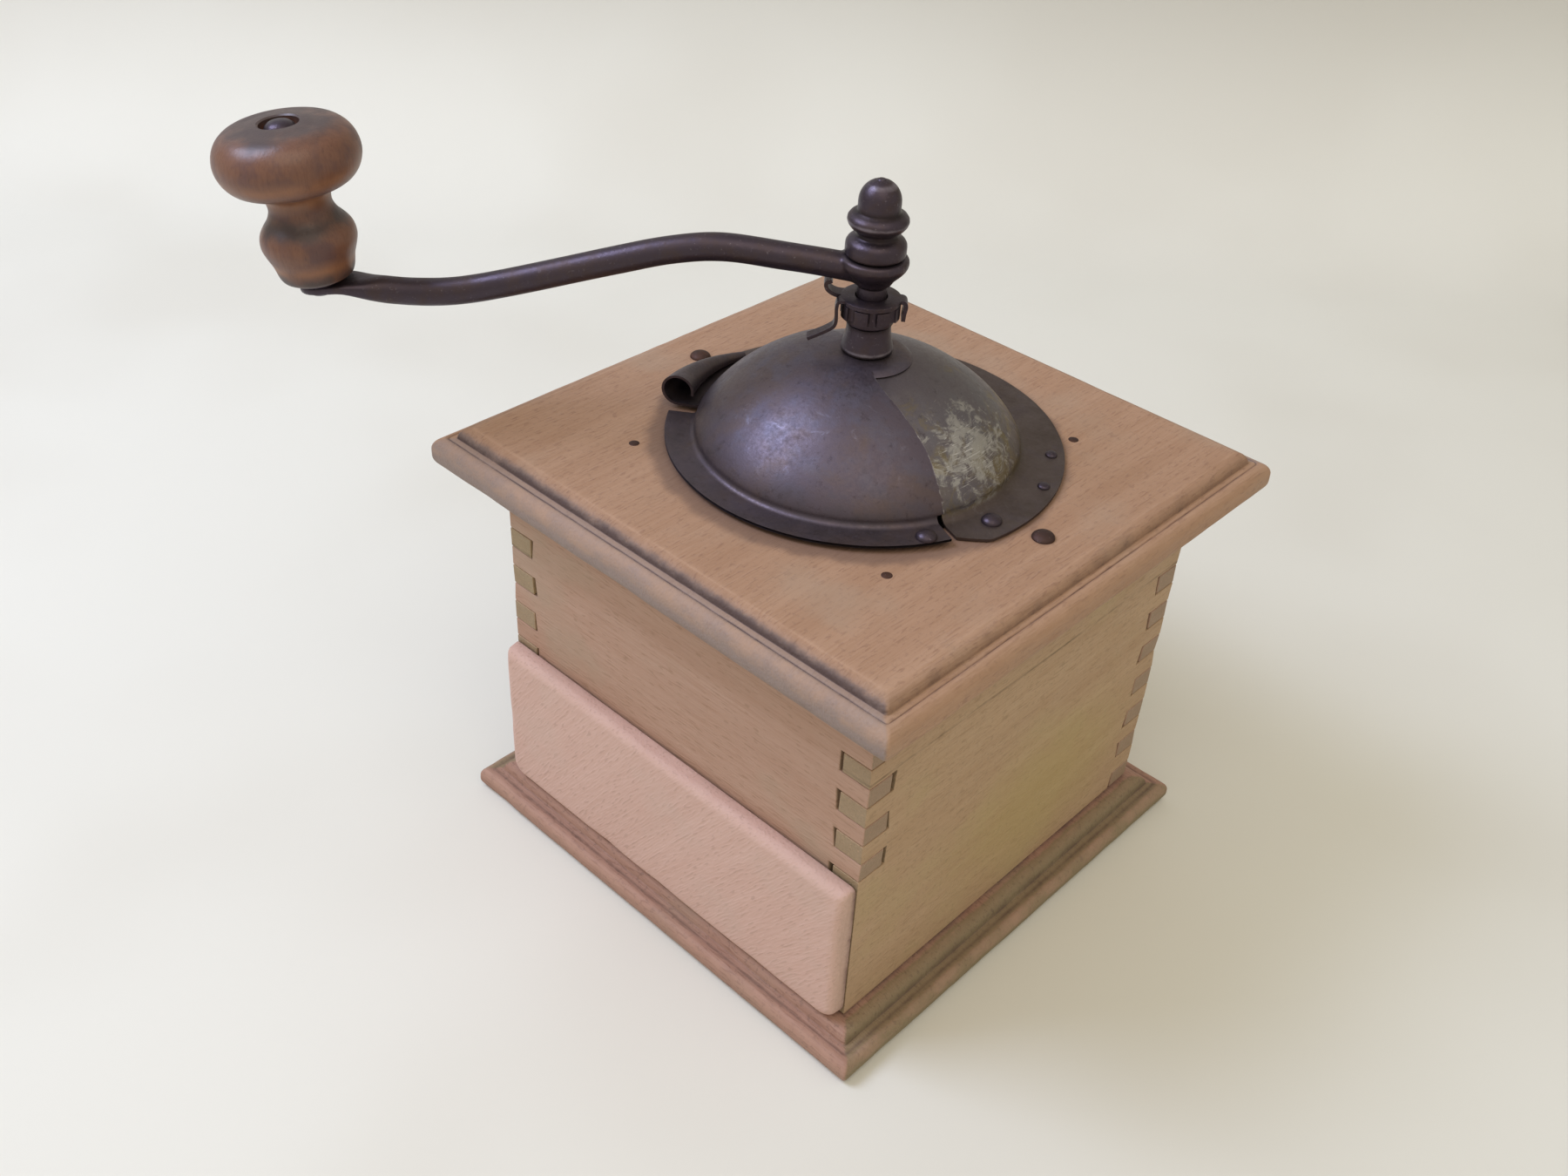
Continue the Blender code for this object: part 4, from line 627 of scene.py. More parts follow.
def board_nose(half, bottom, height, radius, steps=6):
    """The rounded lower edge of a moulded board as (half width, z, wear, painted shade and dirt)."""
    lower = arc(half - radius, bottom + radius, radius, -75, 0, steps)
    upper = arc(half - radius, bottom + height - radius, radius, 0, 75, steps)
    # The underside edge gets a little painted shade with dirt.
    rows = [(half - 1.15 * radius, bottom, 0.0, 0.3)]
    rows += [(h, z, 0.3, 0.15) for h, z in lower]
    rows += [(h, z, 0.8, 0.0) for h, z in upper]
    return rows


def moulded_board(name, rows, seed, inner_top, inner_bottom, material, node):
    """A square board whose edge follows rows of (half width, z, wear, painted shade and
    dirt), and whose top and underside close towards the circles (radius, z) given."""
    loops = []
    values = []
    half = max(row[0] for row in rows)
    for h, z, wear, shade_and_grime in rows:
        depth = (0.12 + 0.22 * wear) * MM
        loops.append([worn(p, half, depth, seed) for p in square_loop(h, z, CORNER_RADIUS)])
        values.append((wear, shade_and_grime))
    outline = square_loop(rows[-1][0], 0, CORNER_RADIUS)
    circles = [circle_loop(outline, r, z) for r, z in inner_top + inner_bottom]
    values += [(0.0, 0.0)] * len(circles)
    bm = lofted(loops + circles, closed=bool(inner_bottom))
    bm.verts.ensure_lookup_table()
    wear_layer = bm.verts.layers.float.new("wear")
    shade_and_grime_layer = bm.verts.layers.float.new("shade_and_grime")
    for index, vert in enumerate(bm.verts):
        wear, shade_and_grime = values[index // len(outline)]
        vert[wear_layer] = wear
        vert[shade_and_grime_layer] = shade_and_grime
    item = make_piece(name, bm, material, "housing", [node], crease=50)
    keep_faces_flat(item)
    return item


def make_top_board(finish):
    """Rounded nose, a quirk, a low cove, and a rebate for the hopper bowl's rim."""
    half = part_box("top_board")[1].x
    step = BOARD_BOTTOM + TOP_NOSE_HEIGHT
    shoulder = half - 1.2 * TOP_NOSE_RADIUS
    rise = BOARD_TOP - step - 0.35 * MM
    rows = board_nose(half, BOARD_BOTTOM, TOP_NOSE_HEIGHT, TOP_NOSE_RADIUS)
    # The quirk and the cove get painted shade with dirt; the edges beside them get wear.
    rows += [(shoulder + 1.0 * MM, step - 0.1 * MM, 0.2, 0.5),
             (shoulder + 0.7 * MM, step - 0.35 * MM, 0.0, 1.0),
             (shoulder + 0.4 * MM, step, 0.5, 0.2),
             (shoulder - 0.5 * MM, step + 0.1 * MM, 0.6, 0.0),
             (shoulder - 0.8 * MM, step + 0.1 * MM, 0.0, 0.8)]
    cove = arc(shoulder - 3.9 * MM, 0, TOP_COVE_RADIUS, 2, 78, 7)
    rows += [(r, step + z * rise / TOP_COVE_RADIUS + 0.1 * MM, 0.0, 0.85 - 0.07 * k)
             for k, (r, z) in enumerate(cove)]
    rows += [(shoulder - 4.0 * MM, BOARD_TOP - 0.12 * MM, 1.0, 0.0),
             (shoulder - 4.5 * MM, BOARD_TOP, 0.7, 0.0),
             (shoulder - 6.5 * MM, BOARD_TOP, 0.2, 0.0)]
    rebate_z = BOARD_TOP - DOME_REBATE_DEPTH
    inner_top = [(56 * MM, BOARD_TOP), (DOME_REBATE_RADIUS, BOARD_TOP),
                 (DOME_REBATE_RADIUS, rebate_z), (BOWL_HOLE_RADIUS, rebate_z)]
    inner_bottom = [(BOWL_HOLE_RADIUS, BOARD_BOTTOM), (54 * MM, BOARD_BOTTOM)]
    moulded_board("planed_top_board", rows, 3.0, inner_top, inner_bottom, finish, "top_board")


def make_base_board(finish):
    """Rounded nose, a quirk and a quarter round up to the box."""
    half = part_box("base_board")[1].x
    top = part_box("base_board")[1].z
    step = BASE_NOSE_HEIGHT
    shoulder = half - 1.2 * BASE_NOSE_RADIUS - 2.0 * MM
    rise = top - step
    rows = board_nose(half, 0, step, BASE_NOSE_RADIUS)
    # The quirk, the quarter round and the top beside the box get painted shade with dirt.
    rows += [(half - 1.3 * BASE_NOSE_RADIUS, step - 0.25 * MM, 0.0, 1.0),
             (shoulder + 0.9 * MM, step, 0.3, 0.3),
             (shoulder + 0.25 * MM, step, 0.2, 0.5),
             (shoulder, step + 0.1 * MM, 0.0, 0.8)]
    rows += [(r, z, 0.2 + 0.06 * k, 0.4 - 0.05 * k)
             for k, (r, z) in enumerate(arc(shoulder - rise, step, rise - 0.1 * MM, 5, 85, 7))]
    rows += [(shoulder - rise - 0.3 * MM, top, 0.4, 0.0), (shoulder - rise - 2 * MM, top, 0.0, 0.9),
             (HALF_BOX - 4 * MM, top, 0.0, 0.9)]
    board = moulded_board("planed_base_board", rows, 11.0, [(40 * MM, top)], [], finish, "base_board")
    sink_screw_heads(board)


def sink_screw_heads(board):
    """Cut the countersinks for the base's four screws."""
    outline = [(0, -GAP), (3.9 * MM, -GAP), (2.1 * MM, 1.9 * MM), (2.1 * MM, 12 * MM), (0, 12 * MM)]
    cones = []
    for number in range(1, 5):
        centre = middle_of(f"base_screw_{number}")
        cone = lathed(outline, 24)
        bmesh.ops.translate(cone, verts=cone.verts, vec=(centre.x, centre.y, 0))
        cones.append(cone)
    cutter = put_in_scene("countersinks", mesh_of("countersinks", put_together(cones)))
    board.modifiers.clear()
    cut = board.modifiers.new("countersinks", 'BOOLEAN')
    cut.object = cutter
    cut.operation = 'DIFFERENCE'
    keep_faces_flat(board)
    make_plain(board)
    bpy.data.objects.remove(cutter, do_unlink=True)
    keep_faces_flat(board)


# ---- box ---------------------------------------------------------------------

FIRST_FINGER_Z = 10 * MM
FINGER_PITCH = 6.2 * MM


def finger_shift(point):
    """Uneven fingers: saw cuts past the wall's thickness, and tips a little short."""
    moved = point.copy()
    level = round((point.z - FIRST_FINGER_Z) / FINGER_PITCH)
    for axis in (0, 1):
        value = point[axis]
        side = 1 if value > 0 else -1
        root = HALF_BOX - WALL - GAP
        chance = noise.noise(Vector((level * 1.7 + axis * 9, side * 3.1, point[1 - axis] * 40)))
        if abs(abs(value) - root) < 0.05 * MM:
            moved[axis] = side * (root - max(chance + 0.25, 0) * 1.7 * MM)
        elif abs(abs(value) - HALF_BOX) < 0.02 * MM and abs(abs(point[1 - axis]) - HALF_BOX) < 9 * MM:
            moved[axis] = value - side * max(chance, 0) * 0.5 * MM
    return moved


def make_walls(finishes):
    """The four jointed walls, from the frame's own, with their fingers made uneven."""
    for node, material in finishes.items():
        eased_copy(node, node.replace("panel", "wall"), material, "housing",
                   0.28 * MM, finger_shift)


def make_drawer_front(material):
    """A plank with rounded edges, its lower corners rounded more than its upper ones."""
    low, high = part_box("drawer_front")
    middle = Vector((0, high.y, (low.z + high.z) / 2))
    half_wide = high.x
    half_high = (high.z - low.z) / 2
    thickness = high.y - low.y
    edge = 2.7 * MM
    rows = [(0.35 * MM, 0.0), (0.0, 0.35 * MM), (0.0, thickness - edge)]
    rows += [(edge - edge * cos(radians(a)), thickness - edge + edge * sin(radians(a)))
             for a in range(12, 91, 13)]
    rows += [(3.6 * MM, thickness), (8 * MM, thickness)]
    rings = []
    for row, (inset, forward) in enumerate(rows):
        corners = [max(corner - 0.4 * inset, 0.5 * MM) for corner in (1.6 * MM, 1.6 * MM, 4.2 * MM, 4.2 * MM)]
        ring = [Vector((p.x, high.y - forward, middle.z + p.y))
                for p in rounded_loop(half_wide - inset, half_high - inset, corners, 6, 16)]
        if 2 <= row < len(rows) - 2:
            ring = [p + (middle - p).normalized() * dent_of(p) for p in ring]
        rings.append(ring)

    def wear(point):
        by_edge = abs(point.x) > half_wide - 3 * MM or abs(point.z - middle.z) > half_high - 3 * MM
        return 0.7 if by_edge and point.y < high.y - 2.5 * MM else 0.0

    # Painted shade with dirt on the back rim, in the gap against the box.
    def shade_and_grime(point):
        return 0.6 if point.y > high.y - 0.9 * MM else 0.0

    item = make_piece("sanded_drawer_front", lofted(rings), material, "drawer", ["drawer_front"],
                      crease=50, marks={"wear": wear, "shade_and_grime": shade_and_grime})
    keep_faces_flat(item)


def dent_of(point):
    """How deep the knocks in the drawer front's edges are here."""
    return max(noise.noise(point * 70 + Vector((5, 1, 2))) - 0.05, 0) * 1.1 * MM


# ---- dome --------------------------------------------------------------------

# Degrees between the sheets' columns, and rows of the crown, dome, foot, flange and roll
ANGLE_STEP = 1.25
RING_ROWS = 5
DOME_ROWS = 30
COVE_ROWS = 6
FLANGE_ROWS = 3
ROLL_ROWS = 22
FOOT_ROW = RING_ROWS + DOME_ROWS
RIM_ROW = FOOT_ROW + COVE_ROWS + FLANGE_ROWS


def dome_line(offset):
    """The dome's meridian from its hole to the flange's rim, this far outside the
    fixed shell's outer face."""
    foot = FLANGE_Z + DOME_COVE
    hole_angle = asin(DOME_HOLE / DOME_RADIUS)
    ring_angle = asin(DOME_RING / DOME_RADIUS)
    angles = [hole_angle + (ring_angle - hole_angle) * k / RING_ROWS for k in range(RING_ROWS)]
    angles += [ring_angle + (pi / 2 - ring_angle) * k / DOME_ROWS for k in range(DOME_ROWS)]
    line = []
    for t in angles:
        across = DOME_RADIUS * cos(t)
        down = 2 * DOME_FULLNESS * DOME_HEIGHT * cos(t) ** (2 * DOME_FULLNESS - 1) * sin(t)
        steep = hypot(across, down)
        line.append((DOME_RADIUS * sin(t) + offset * down / steep,
                     foot + DOME_HEIGHT * cos(t) ** (2 * DOME_FULLNESS) + offset * across / steep))
    line[0] = (DOME_HOLE, line[0][1])
    line += arc(DOME_RADIUS + DOME_COVE, foot, DOME_COVE - offset, 180, 270, COVE_ROWS)
    start = line[-1][0]
    line += [(start + (FLANGE_RADIUS - start) * k / FLANGE_ROWS, FLANGE_Z + offset)
             for k in range(1, FLANGE_ROWS + 1)]
    return line


def within(angle, reach):
    """Whether an angle lies in a reach, all in degrees."""
    return (angle - reach[0]) % 360 < reach[1] - reach[0]


def sheet_cells(dome_reach, flange_reach, roll_reach=None, roll_rows=0):
    """Quads of (angle step, row) keys for a shell's crown ring, dome, flange and roll."""
    cells = []
    count = round(360 / ANGLE_STEP)
    for index in range(count):
        angle = (index + 0.5) * ANGLE_STEP
        rolled = roll_reach and within(angle, roll_reach)
        for row in range(RIM_ROW + roll_rows):
            if row < RING_ROWS:
                wanted = True
            elif row < FOOT_ROW:
                wanted = within(angle, dome_reach)
            elif row < RIM_ROW:
                wanted = rolled or within(angle, flange_reach)
            else:
                wanted = rolled
            if wanted:
                after = (index + 1) % count
                cells.append([(index, row), (index, row + 1), (after, row + 1), (after, row)])
    return cells


def sheet_body(cells, place):
    """A closed sheet of quads, with a sheet UV in metres round and up the dome."""
    bm = bmesh.new()
    verts = {}
    for cell in cells:
        for key in cell:
            if key not in verts:
                verts[key] = [bm.verts.new(place(key, side)) for side in (0, 1)]
        bm.faces.new([verts[key][0] for key in cell])
        bm.faces.new([verts[key][1] for key in reversed(cell)])
    rim = {}
    for cell in cells:
        for start, end in zip(cell, cell[1:] + cell[:1]):
            if (end, start) in rim:
                del rim[(end, start)]
            else:
                rim[(start, end)] = True
    for start, end in rim:
        bm.faces.new((verts[end][0], verts[start][0], verts[start][1], verts[end][1]))
    layer = bm.loops.layers.uv.new("sheet")
    for face in bm.faces:
        for loop in face.loops:
            co = loop.vert.co
            loop[layer].uv = (atan2(co.x, -co.y) * 35 * MM, hypot(hypot(co.x, co.y), co.z * 1.5))
    return bm


def dented(r, angle, z, seed):
    """Shallow dents and the hammered unevenness of old sheet."""
    point = Vector((r * cos(angle), r * sin(angle), z))
    rise = (0.09 * noise.noise(point * 90 + Vector((seed, 0, 0)))
            + 0.03 * noise.noise(point * 260 + Vector((0, seed, 0)))) * MM
    return point * (1 + rise / 0.15)


def foot_shade_and_dust(point):
    """Painted shade and dust round the sleeve and in the cove at the dome's foot, and dust on the flange."""
    reach = hypot(point.x, point.y)
    by_sleeve = max(1 - abs(reach - 7 * MM) / (5 * MM), 0) * 0.7
    by_foot = min(max((reach - DOME_RADIUS + 12 * MM) / (14 * MM), 0), 1) * 0.6
    return max(by_sleeve, by_foot)


def seam_wear(point):
    """The lid's free edge is rubbed bright."""
    turn = degrees(atan2(point.y, point.x))
    reach = hypot(point.x, point.y)
    edge = SEAM - seam_bend(reach)
    return max(1 - abs(turn - edge) / 1.6, 0) if reach > DOME_RING else 0.0


def seam_bend(reach):
    """How far back the lid's free edge lies from a plain ray, in degrees."""
    return 26 * max(1 - (reach - 8 * MM) / (27 * MM), 0) ** 1.8


def make_fixed_shell(material):
    """The half that is nailed down, its flange cut back at the seam."""
    faces = (dome_line(0), dome_line(-SHEET))
    corner = round((SEAM % 360) / ANGLE_STEP)

    def place(key, side):
        index, row = key
        r, z = faces[side][row]
        past = (index - corner) * ANGLE_STEP
        if row > RIM_ROW - FLANGE_ROWS and 0 <= past < 8:
            r -= 4.5 * MM * (1 - past / 8) * (row - RIM_ROW + FLANGE_ROWS) / FLANGE_ROWS
        return dented(r, radians(index * ANGLE_STEP), z, 2.0)

    make_piece("fixed_dome_shell", sheet_body(sheet_cells(FIXED_REACH, FIXED_FLANGE), place), material,
               "housing", ["dome_fixed_shell"], marks={"shade_and_grime": foot_shade_and_dust})


def grip_section(angle, side):
    """The lid's rolled edge in section; the roll narrows away from its open end."""
    share = min(max((GRIP_REACH[1] - angle) / (GRIP_REACH[1] - GRIP_REACH[0]), 0), 1)
    roll = GRIP_RADIUS * (1 - 0.74 * share)
    return arc(GRIP_CENTRE, FLANGE_Z + GAP + roll, roll - (0 if side else SHEET), -90, 195, ROLL_ROWS)


def make_lid(material):
    """The half that turns over the fixed one, with a rolled grip at its end."""
    faces = (dome_line(GAP + SHEET), dome_line(GAP))
    crown_lip = (0.6 * MM, 0.15 * MM)

    def place(key, side):
        index, row = key
        angle = index * ANGLE_STEP
        if row >= RIM_ROW:
            turn = angle - 360 if angle > 90 else angle
            r, z = grip_section(turn, side)[row - RIM_ROW]
        else:
            r, z = faces[side][row]
        in_grip = (angle - GRIP_REACH[0]) % 360 <= GRIP_REACH[1] - GRIP_REACH[0]
        if FOOT_ROW + COVE_ROWS < row < RIM_ROW and in_grip:
            start = DOME_RADIUS + DOME_COVE
            r = start + (GRIP_CENTRE - start) * (row - FOOT_ROW - COVE_ROWS) / FLANGE_ROWS
        off_seam = (angle - SEAM + 180) % 360 - 180
        if row <= FOOT_ROW:
            ragged = 0.8 * noise.noise(Vector((row * 0.4, 0, 3))) * (row > RING_ROWS)
            angle -= (seam_bend(r) + ragged) * max(1 - abs(off_seam) / 75, 0)
        if row == RING_ROWS and not -175 < off_seam < 0.1:
            z -= crown_lip[side]
        return dented(r, radians(angle), z, 2.0)

    cells = sheet_cells(LID_REACH, LID_FLANGE, GRIP_REACH, ROLL_ROWS)
    make_piece("turning_dome_lid", sheet_body(cells, place), material, "lid", ["dome_lid"],
               marks={"shade_and_grime": foot_shade_and_dust, "wear": seam_wear})


# ---- spindle stack -----------------------------------------------------------

def near_heights(heights, reach):
    """A rule for a turned piece: 1 at these heights, and nothing past the reach."""
    return lambda point: max([1 - abs(point.z - height) / reach for height in heights] + [0.0])


def make_sleeve(iron):
    """The tapered collar on the dome, its thin neck down through the lid and shell."""
    low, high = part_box("bearing_sleeve")
    foot = high.z - 7.3 * MM
    hole = 4.05 * MM
    outline = [(hole, high.z), (5.3 * MM, high.z), (5.5 * MM, high.z - 0.2 * MM)]
    outline += [(5.6 * MM, high.z - 2 * MM), (6.0 * MM, high.z - 4 * MM), (6.4 * MM, foot + 1.4 * MM),
                (6.55 * MM, foot + 0.9 * MM), (6.5 * MM, foot + 0.1 * MM), (6.3 * MM, foot),
                (5.0 * MM, foot), (5.0 * MM, low.z), (hole, low.z)]
    # Painted shade with dirt at the foot on the dome and at the top under the nut.
    marks = {"shade_and_grime": near_heights([foot, high.z], 0.9 * MM),
             "wear": near_heights([foot + 0.9 * MM], 0.9 * MM)}
    make_piece("spindle_sleeve", lathed(outline), iron, "housing", ["bearing_sleeve"],
               marks=marks)


def make_acorn(iron):
    """The finial nut: a foot, a waist, a bead and a long cap."""
    profile = [(3.1, 0.0), (6.9, 0.0), (7.35, 0.2), (7.5, 0.7), (7.5, 2.4), (7.4, 3.1), (7.05, 3.7)]
    profile += [(6.5, 4.2), (5.8, 4.6), (5.3, 4.85), (5.1, 5.2), (5.05, 5.6), (5.2, 6.1)]
    profile += [(5.6, 6.5), (6.6, 7.1), (7.2, 7.9), (7.5, 8.7), (7.4, 9.4), (6.9, 10.1), (6.1, 10.6)]
    profile += [(5.45, 10.9)]
    profile += [(5.2, 11.3), (5.2, 13.2)]
    profile += [(5.2 * cos(radians(a)), 13.4 + 5.35 * sin(radians(a))) for a in range(8, 90, 9)]
    profile += [(1.1, 18.6), (0.9, 18.85), (0.0, 18.9), (0.0, 11.8), (3.1, 11.8)]
    outline = [(r * MM, ACORN_Z + h * MM) for r, h in profile]
    # Painted shade with dirt at the foot, in the waist and under the cap.
    marks = {"shade_and_grime": near_heights([ACORN_Z + h * MM for h in (0.0, 5.3, 11.1)], 1.1 * MM),
             "wear": near_heights([ACORN_Z + h * MM for h in (1.4, 8.7, 17.5)], 1.1 * MM)}
    make_piece("acorn_cap_nut", lathed(outline, 72), iron, "spindle", ["acorn_nut"],
               marks=marks)


def make_shaft(iron):
    """The spindle, turned down for the crank at its top and for the bridge at its foot."""
    low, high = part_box("spindle")
    seat = ACORN_Z - EYE_HEIGHT - 2 * GAP
    outline = [(0, high.z), (2.8 * MM, high.z), (2.8 * MM, ACORN_Z), (3.2 * MM, ACORN_Z), (3.2 * MM, seat),
               (3.55 * MM, seat), (3.75 * MM, seat - 0.2 * MM), (3.75 * MM, 85.7 * MM), (6.0 * MM, 85.7 * MM),
               (6.0 * MM, 84.2 * MM), (3.0 * MM, 84.2 * MM), (3.0 * MM, low.z), (0, low.z)]
    make_piece("turned_spindle", lathed(outline, 40), iron, "spindle", ["spindle"])


NUT_HEAD = 3.6 * MM               # its height


def nut_tree():
    """A round nut with notches cut at equal angles round it."""
    tree = bpy.data.node_groups.new("notched_nut", "GeometryNodeTree")
    tree.interface.new_socket("Geometry", in_out='INPUT', socket_type='NodeSocketGeometry')
    sizes = {"Radius": 7.41 * MM, "Height": NUT_HEAD, "Bore": 4.05 * MM, "Notch Radius": 1.15 * MM}
    for label, value in sizes.items():
        tree.interface.new_socket(label, in_out='INPUT', socket_type='NodeSocketFloat').default_value = value
    tree.interface.new_socket("Notches", in_out='INPUT', socket_type='NodeSocketInt').default_value = 8
    tree.interface.new_socket("Finish", in_out='INPUT', socket_type='NodeSocketMaterial')
    tree.interface.new_socket("Geometry", in_out='OUTPUT', socket_type='NodeSocketGeometry')
    given = tree.nodes.new("NodeGroupInput").outputs
    blank = add(tree, "GeometryNodeMeshCylinder", "Mesh", {
        "Vertices": 96, "Radius": given["Radius"], "Depth": given["Height"]})
    bore = add(tree, "GeometryNodeMeshCylinder", "Mesh", {
        "Vertices": 48, "Radius": given["Bore"], "Depth": 20 * MM})
    ring = add(tree, "GeometryNodeMeshCircle", "Mesh", {
        "Vertices": given["Notches"], "Radius": given["Radius"]})
    mill = add(tree, "GeometryNodeMeshCylinder", "Mesh", {
        "Vertices": 20, "Radius": given["Notch Radius"], "Depth": 20 * MM})
    cuts = add(tree, "GeometryNodeInstanceOnPoints", "Instances", {"Points": ring, "Instance": mill})
    solid_cuts = add(tree, "GeometryNodeRealizeInstances", 0, {0: cuts})
    bored = add(tree, "GeometryNodeMeshBoolean", "Mesh", {"Mesh 1": blank, "Mesh 2": bore},
                operation='DIFFERENCE')
    notched = add(tree, "GeometryNodeMeshBoolean", "Mesh", {"Mesh 1": bored, "Mesh 2": solid_cuts},
                  operation='DIFFERENCE')
    whole = add(tree, "GeometryNodeRealizeInstances", 0, {0: notched})
    dressed = add(tree, "GeometryNodeSetMaterial", 0, {"Geometry": whole, "Material": given["Finish"]})
    tree.links.new(dressed, tree.nodes.new("NodeGroupOutput").inputs[0])
    return tree


def grown(name, tree, values, points=((0, 0, 0),)):
    """The plain mesh that a node tree makes on these points, as a new object."""
    mesh = bpy.data.meshes.new(name)
    mesh.from_pydata(points, [], [])
    item = put_in_scene(name, mesh)
    modifier = item.modifiers.new("made_by_rule", 'NODES')
    modifier.node_group = tree
    for socket in tree.interface.items_tree:
        if socket.in_out == 'INPUT' and socket.name in values:
            modifier[socket.identifier] = values[socket.name]
    make_plain(item)
    return item


def make_adjusting_nut(iron):
    """The notched head and the plain neck below it."""
    low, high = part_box("adjusting_nut")
    bore = 4.05 * MM
    neck_top = high.z - NUT_HEAD + 0.02 * MM
    item = grown("notched_adjusting_nut", nut_tree(), {"Finish": iron})
    item.data.transform(Matrix.Translation((0, 0, high.z - NUT_HEAD / 2)))
    head = bmesh.new()
    head.from_mesh(item.data)
    neck = lathed([(bore, neck_top), (6.0 * MM, neck_top), (6.1 * MM, low.z + 0.3 * MM),
                   (5.9 * MM, low.z), (bore, low.z)], 48)
    bm = put_together([head, neck])
    for face in bm.faces:
        face.material_index = 0
    bm.to_mesh(item.data)
    bm.free()
    item.data.materials.clear()
    item.data.materials.append(iron)
    ease_edges(item, 0.35 * MM, 3)
    item.data.shade_smooth()
    item.data.set_sharp_from_angle(angle=radians(40))
    settle(item, "nut", ["adjusting_nut"])


def sheet_strip(path, thickness, low, high):
    """A bent strip of sheet: its centre line in X and Z, between two values of Y."""
    line = [Vector(point) for point in smooth_line(path, 5)]
    outer = []
    inner = []
    for index, point in enumerate(line):
        run = (line[min(index + 1, len(line) - 1)] - line[max(index - 1, 0)]).normalized()
        off = Vector((-run.y, run.x)) * thickness / 2
        outer.append(point + off)
        inner.append(point - off)
    outline = outer + inner[::-1]
    return lofted([[(p.x, y, p.y) for p in outline] for y in (low, high)])


def make_lock_plate(iron):
    """The latch on the nut: a hook and a tongue towards the crank, a lug behind."""
    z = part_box("adjusting_nut")[1].z + GAP + 0.55 * MM
    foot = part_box("lock_plate")[0].z
    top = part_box("lock_plate")[1].z
    root = 5.2 * MM
    rim = 8.35 * MM
    disc = lathed([(4.05 * MM, z - 0.55 * MM), (7.5 * MM, z - 0.55 * MM), (7.5 * MM, z + 0.5 * MM),
                   (6.9 * MM, z + 0.8 * MM), (4.05 * MM, z + 0.8 * MM)], 48)
    hook = sheet_strip([(root, z), (rim, z + 0.1 * MM), (rim + 2.3 * MM, z + 1.3 * MM),
                        (rim + 2.9 * MM, z + 3.0 * MM), (rim + 1.5 * MM, top - 0.5 * MM)],
                       1.0 * MM, -3.7 * MM, 0.1 * MM)
    tongue = sheet_strip([(root, z), (rim - 0.6 * MM, z), (rim, z - 1.6 * MM), (rim, foot + 5.3 * MM),
                          (rim + 1.6 * MM, foot + 3.4 * MM), (rim + 6.7 * MM, foot + 0.6 * MM)],
                         0.85 * MM, 0.6 * MM, 3.7 * MM)
    lug = sheet_strip([(-root, z), (-rim + 0.5 * MM, z), (-rim - 0.25 * MM, z - 1.0 * MM),
                       (-rim, z - 3.0 * MM), (-rim + 0.15 * MM, z - 5.0 * MM)], 1.0 * MM, -1.9 * MM, 1.9 * MM)
    item = make_piece("bent_lock_plate", put_together([disc, hook, tongue, lug]), iron, "latch",
                      ["lock_plate"], crease=40, place=Matrix.Rotation(CRANK_TURN, 4, 'Z'))
    ease_edges(item, 0.22 * MM)


# ---- crank and knob ----------------------------------------------------------

BAR_SIDES = 32


def crank_path():
    """Points (distance, height) of the bar's centre line."""
    start = ACORN_Z - 3 * GAP - BAR_RADIUS
    pad = KNOB_PLACE.z
    slope = sin(PAD_LEAN)
    return smooth_line([
        (2.0 * MM, start), (EYE_RADIUS + 2.8 * MM, start + 1.3 * MM),
        (0.16 * CRANK_REACH, start + 2.4 * MM), (0.27 * CRANK_REACH, start + 3.7 * MM),
        (0.36 * CRANK_REACH, start + 2.2 * MM), (0.46 * CRANK_REACH, start - 1.4 * MM),
        (0.65 * CRANK_REACH, start - 8.9 * MM), (0.75 * CRANK_REACH, start - 12.2 * MM),
        (0.83 * CRANK_REACH, start - 13.2 * MM), (0.90 * CRANK_REACH, start - 12.9 * MM),
        (CRANK_REACH - 1.2 * PAD_HALF_WIDTH, pad + 1.2 * PAD_HALF_WIDTH * slope), (CRANK_REACH, pad),
        (CRANK_REACH + PAD_HALF_WIDTH, pad - PAD_HALF_WIDTH * slope)], 10)


def bar_section(path, index):
    """A ring of the bar: round, and pressed flat towards the pad, whose end is round."""
    distance, height = path[index]
    run = (Vector(path[min(index + 1, len(path) - 1)]) - Vector(path[max(index - 1, 0)])).normalized()
    flat_start = CRANK_REACH - 3.2 * PAD_HALF_WIDTH
    flat_end = CRANK_REACH - 0.9 * PAD_HALF_WIDTH
    share = min(max((distance - flat_start) / (flat_end - flat_start), 0), 1)
    share = share * share * (3 - 2 * share)
    swell = 1 + 0.02 * noise.noise(Vector((distance * 90, 0, 0)))
    past = max(distance - CRANK_REACH, 0) / (PAD_HALF_WIDTH * 1.02)
    half_wide = BAR_RADIUS + (PAD_HALF_WIDTH - BAR_RADIUS) * share
    half_wide *= max(1 - past * past, 0.02) ** 0.5 * swell
    half_high = (BAR_RADIUS + (PAD_THICKNESS / 2 - BAR_RADIUS) * share) * swell
    ring = []
    for k in range(BAR_SIDES):
        angle = 2 * pi * (k + 0.5) / BAR_SIDES
        squareness = 1 - 0.6 * share
        across = abs(cos(angle)) ** squareness * (1 if cos(angle) > 0 else -1) * half_wide
        up = abs(sin(angle)) ** squareness * (1 if sin(angle) > 0 else -1) * half_high
        ring.append((distance - run.y * up, across, height + run.x * up))
    return ring


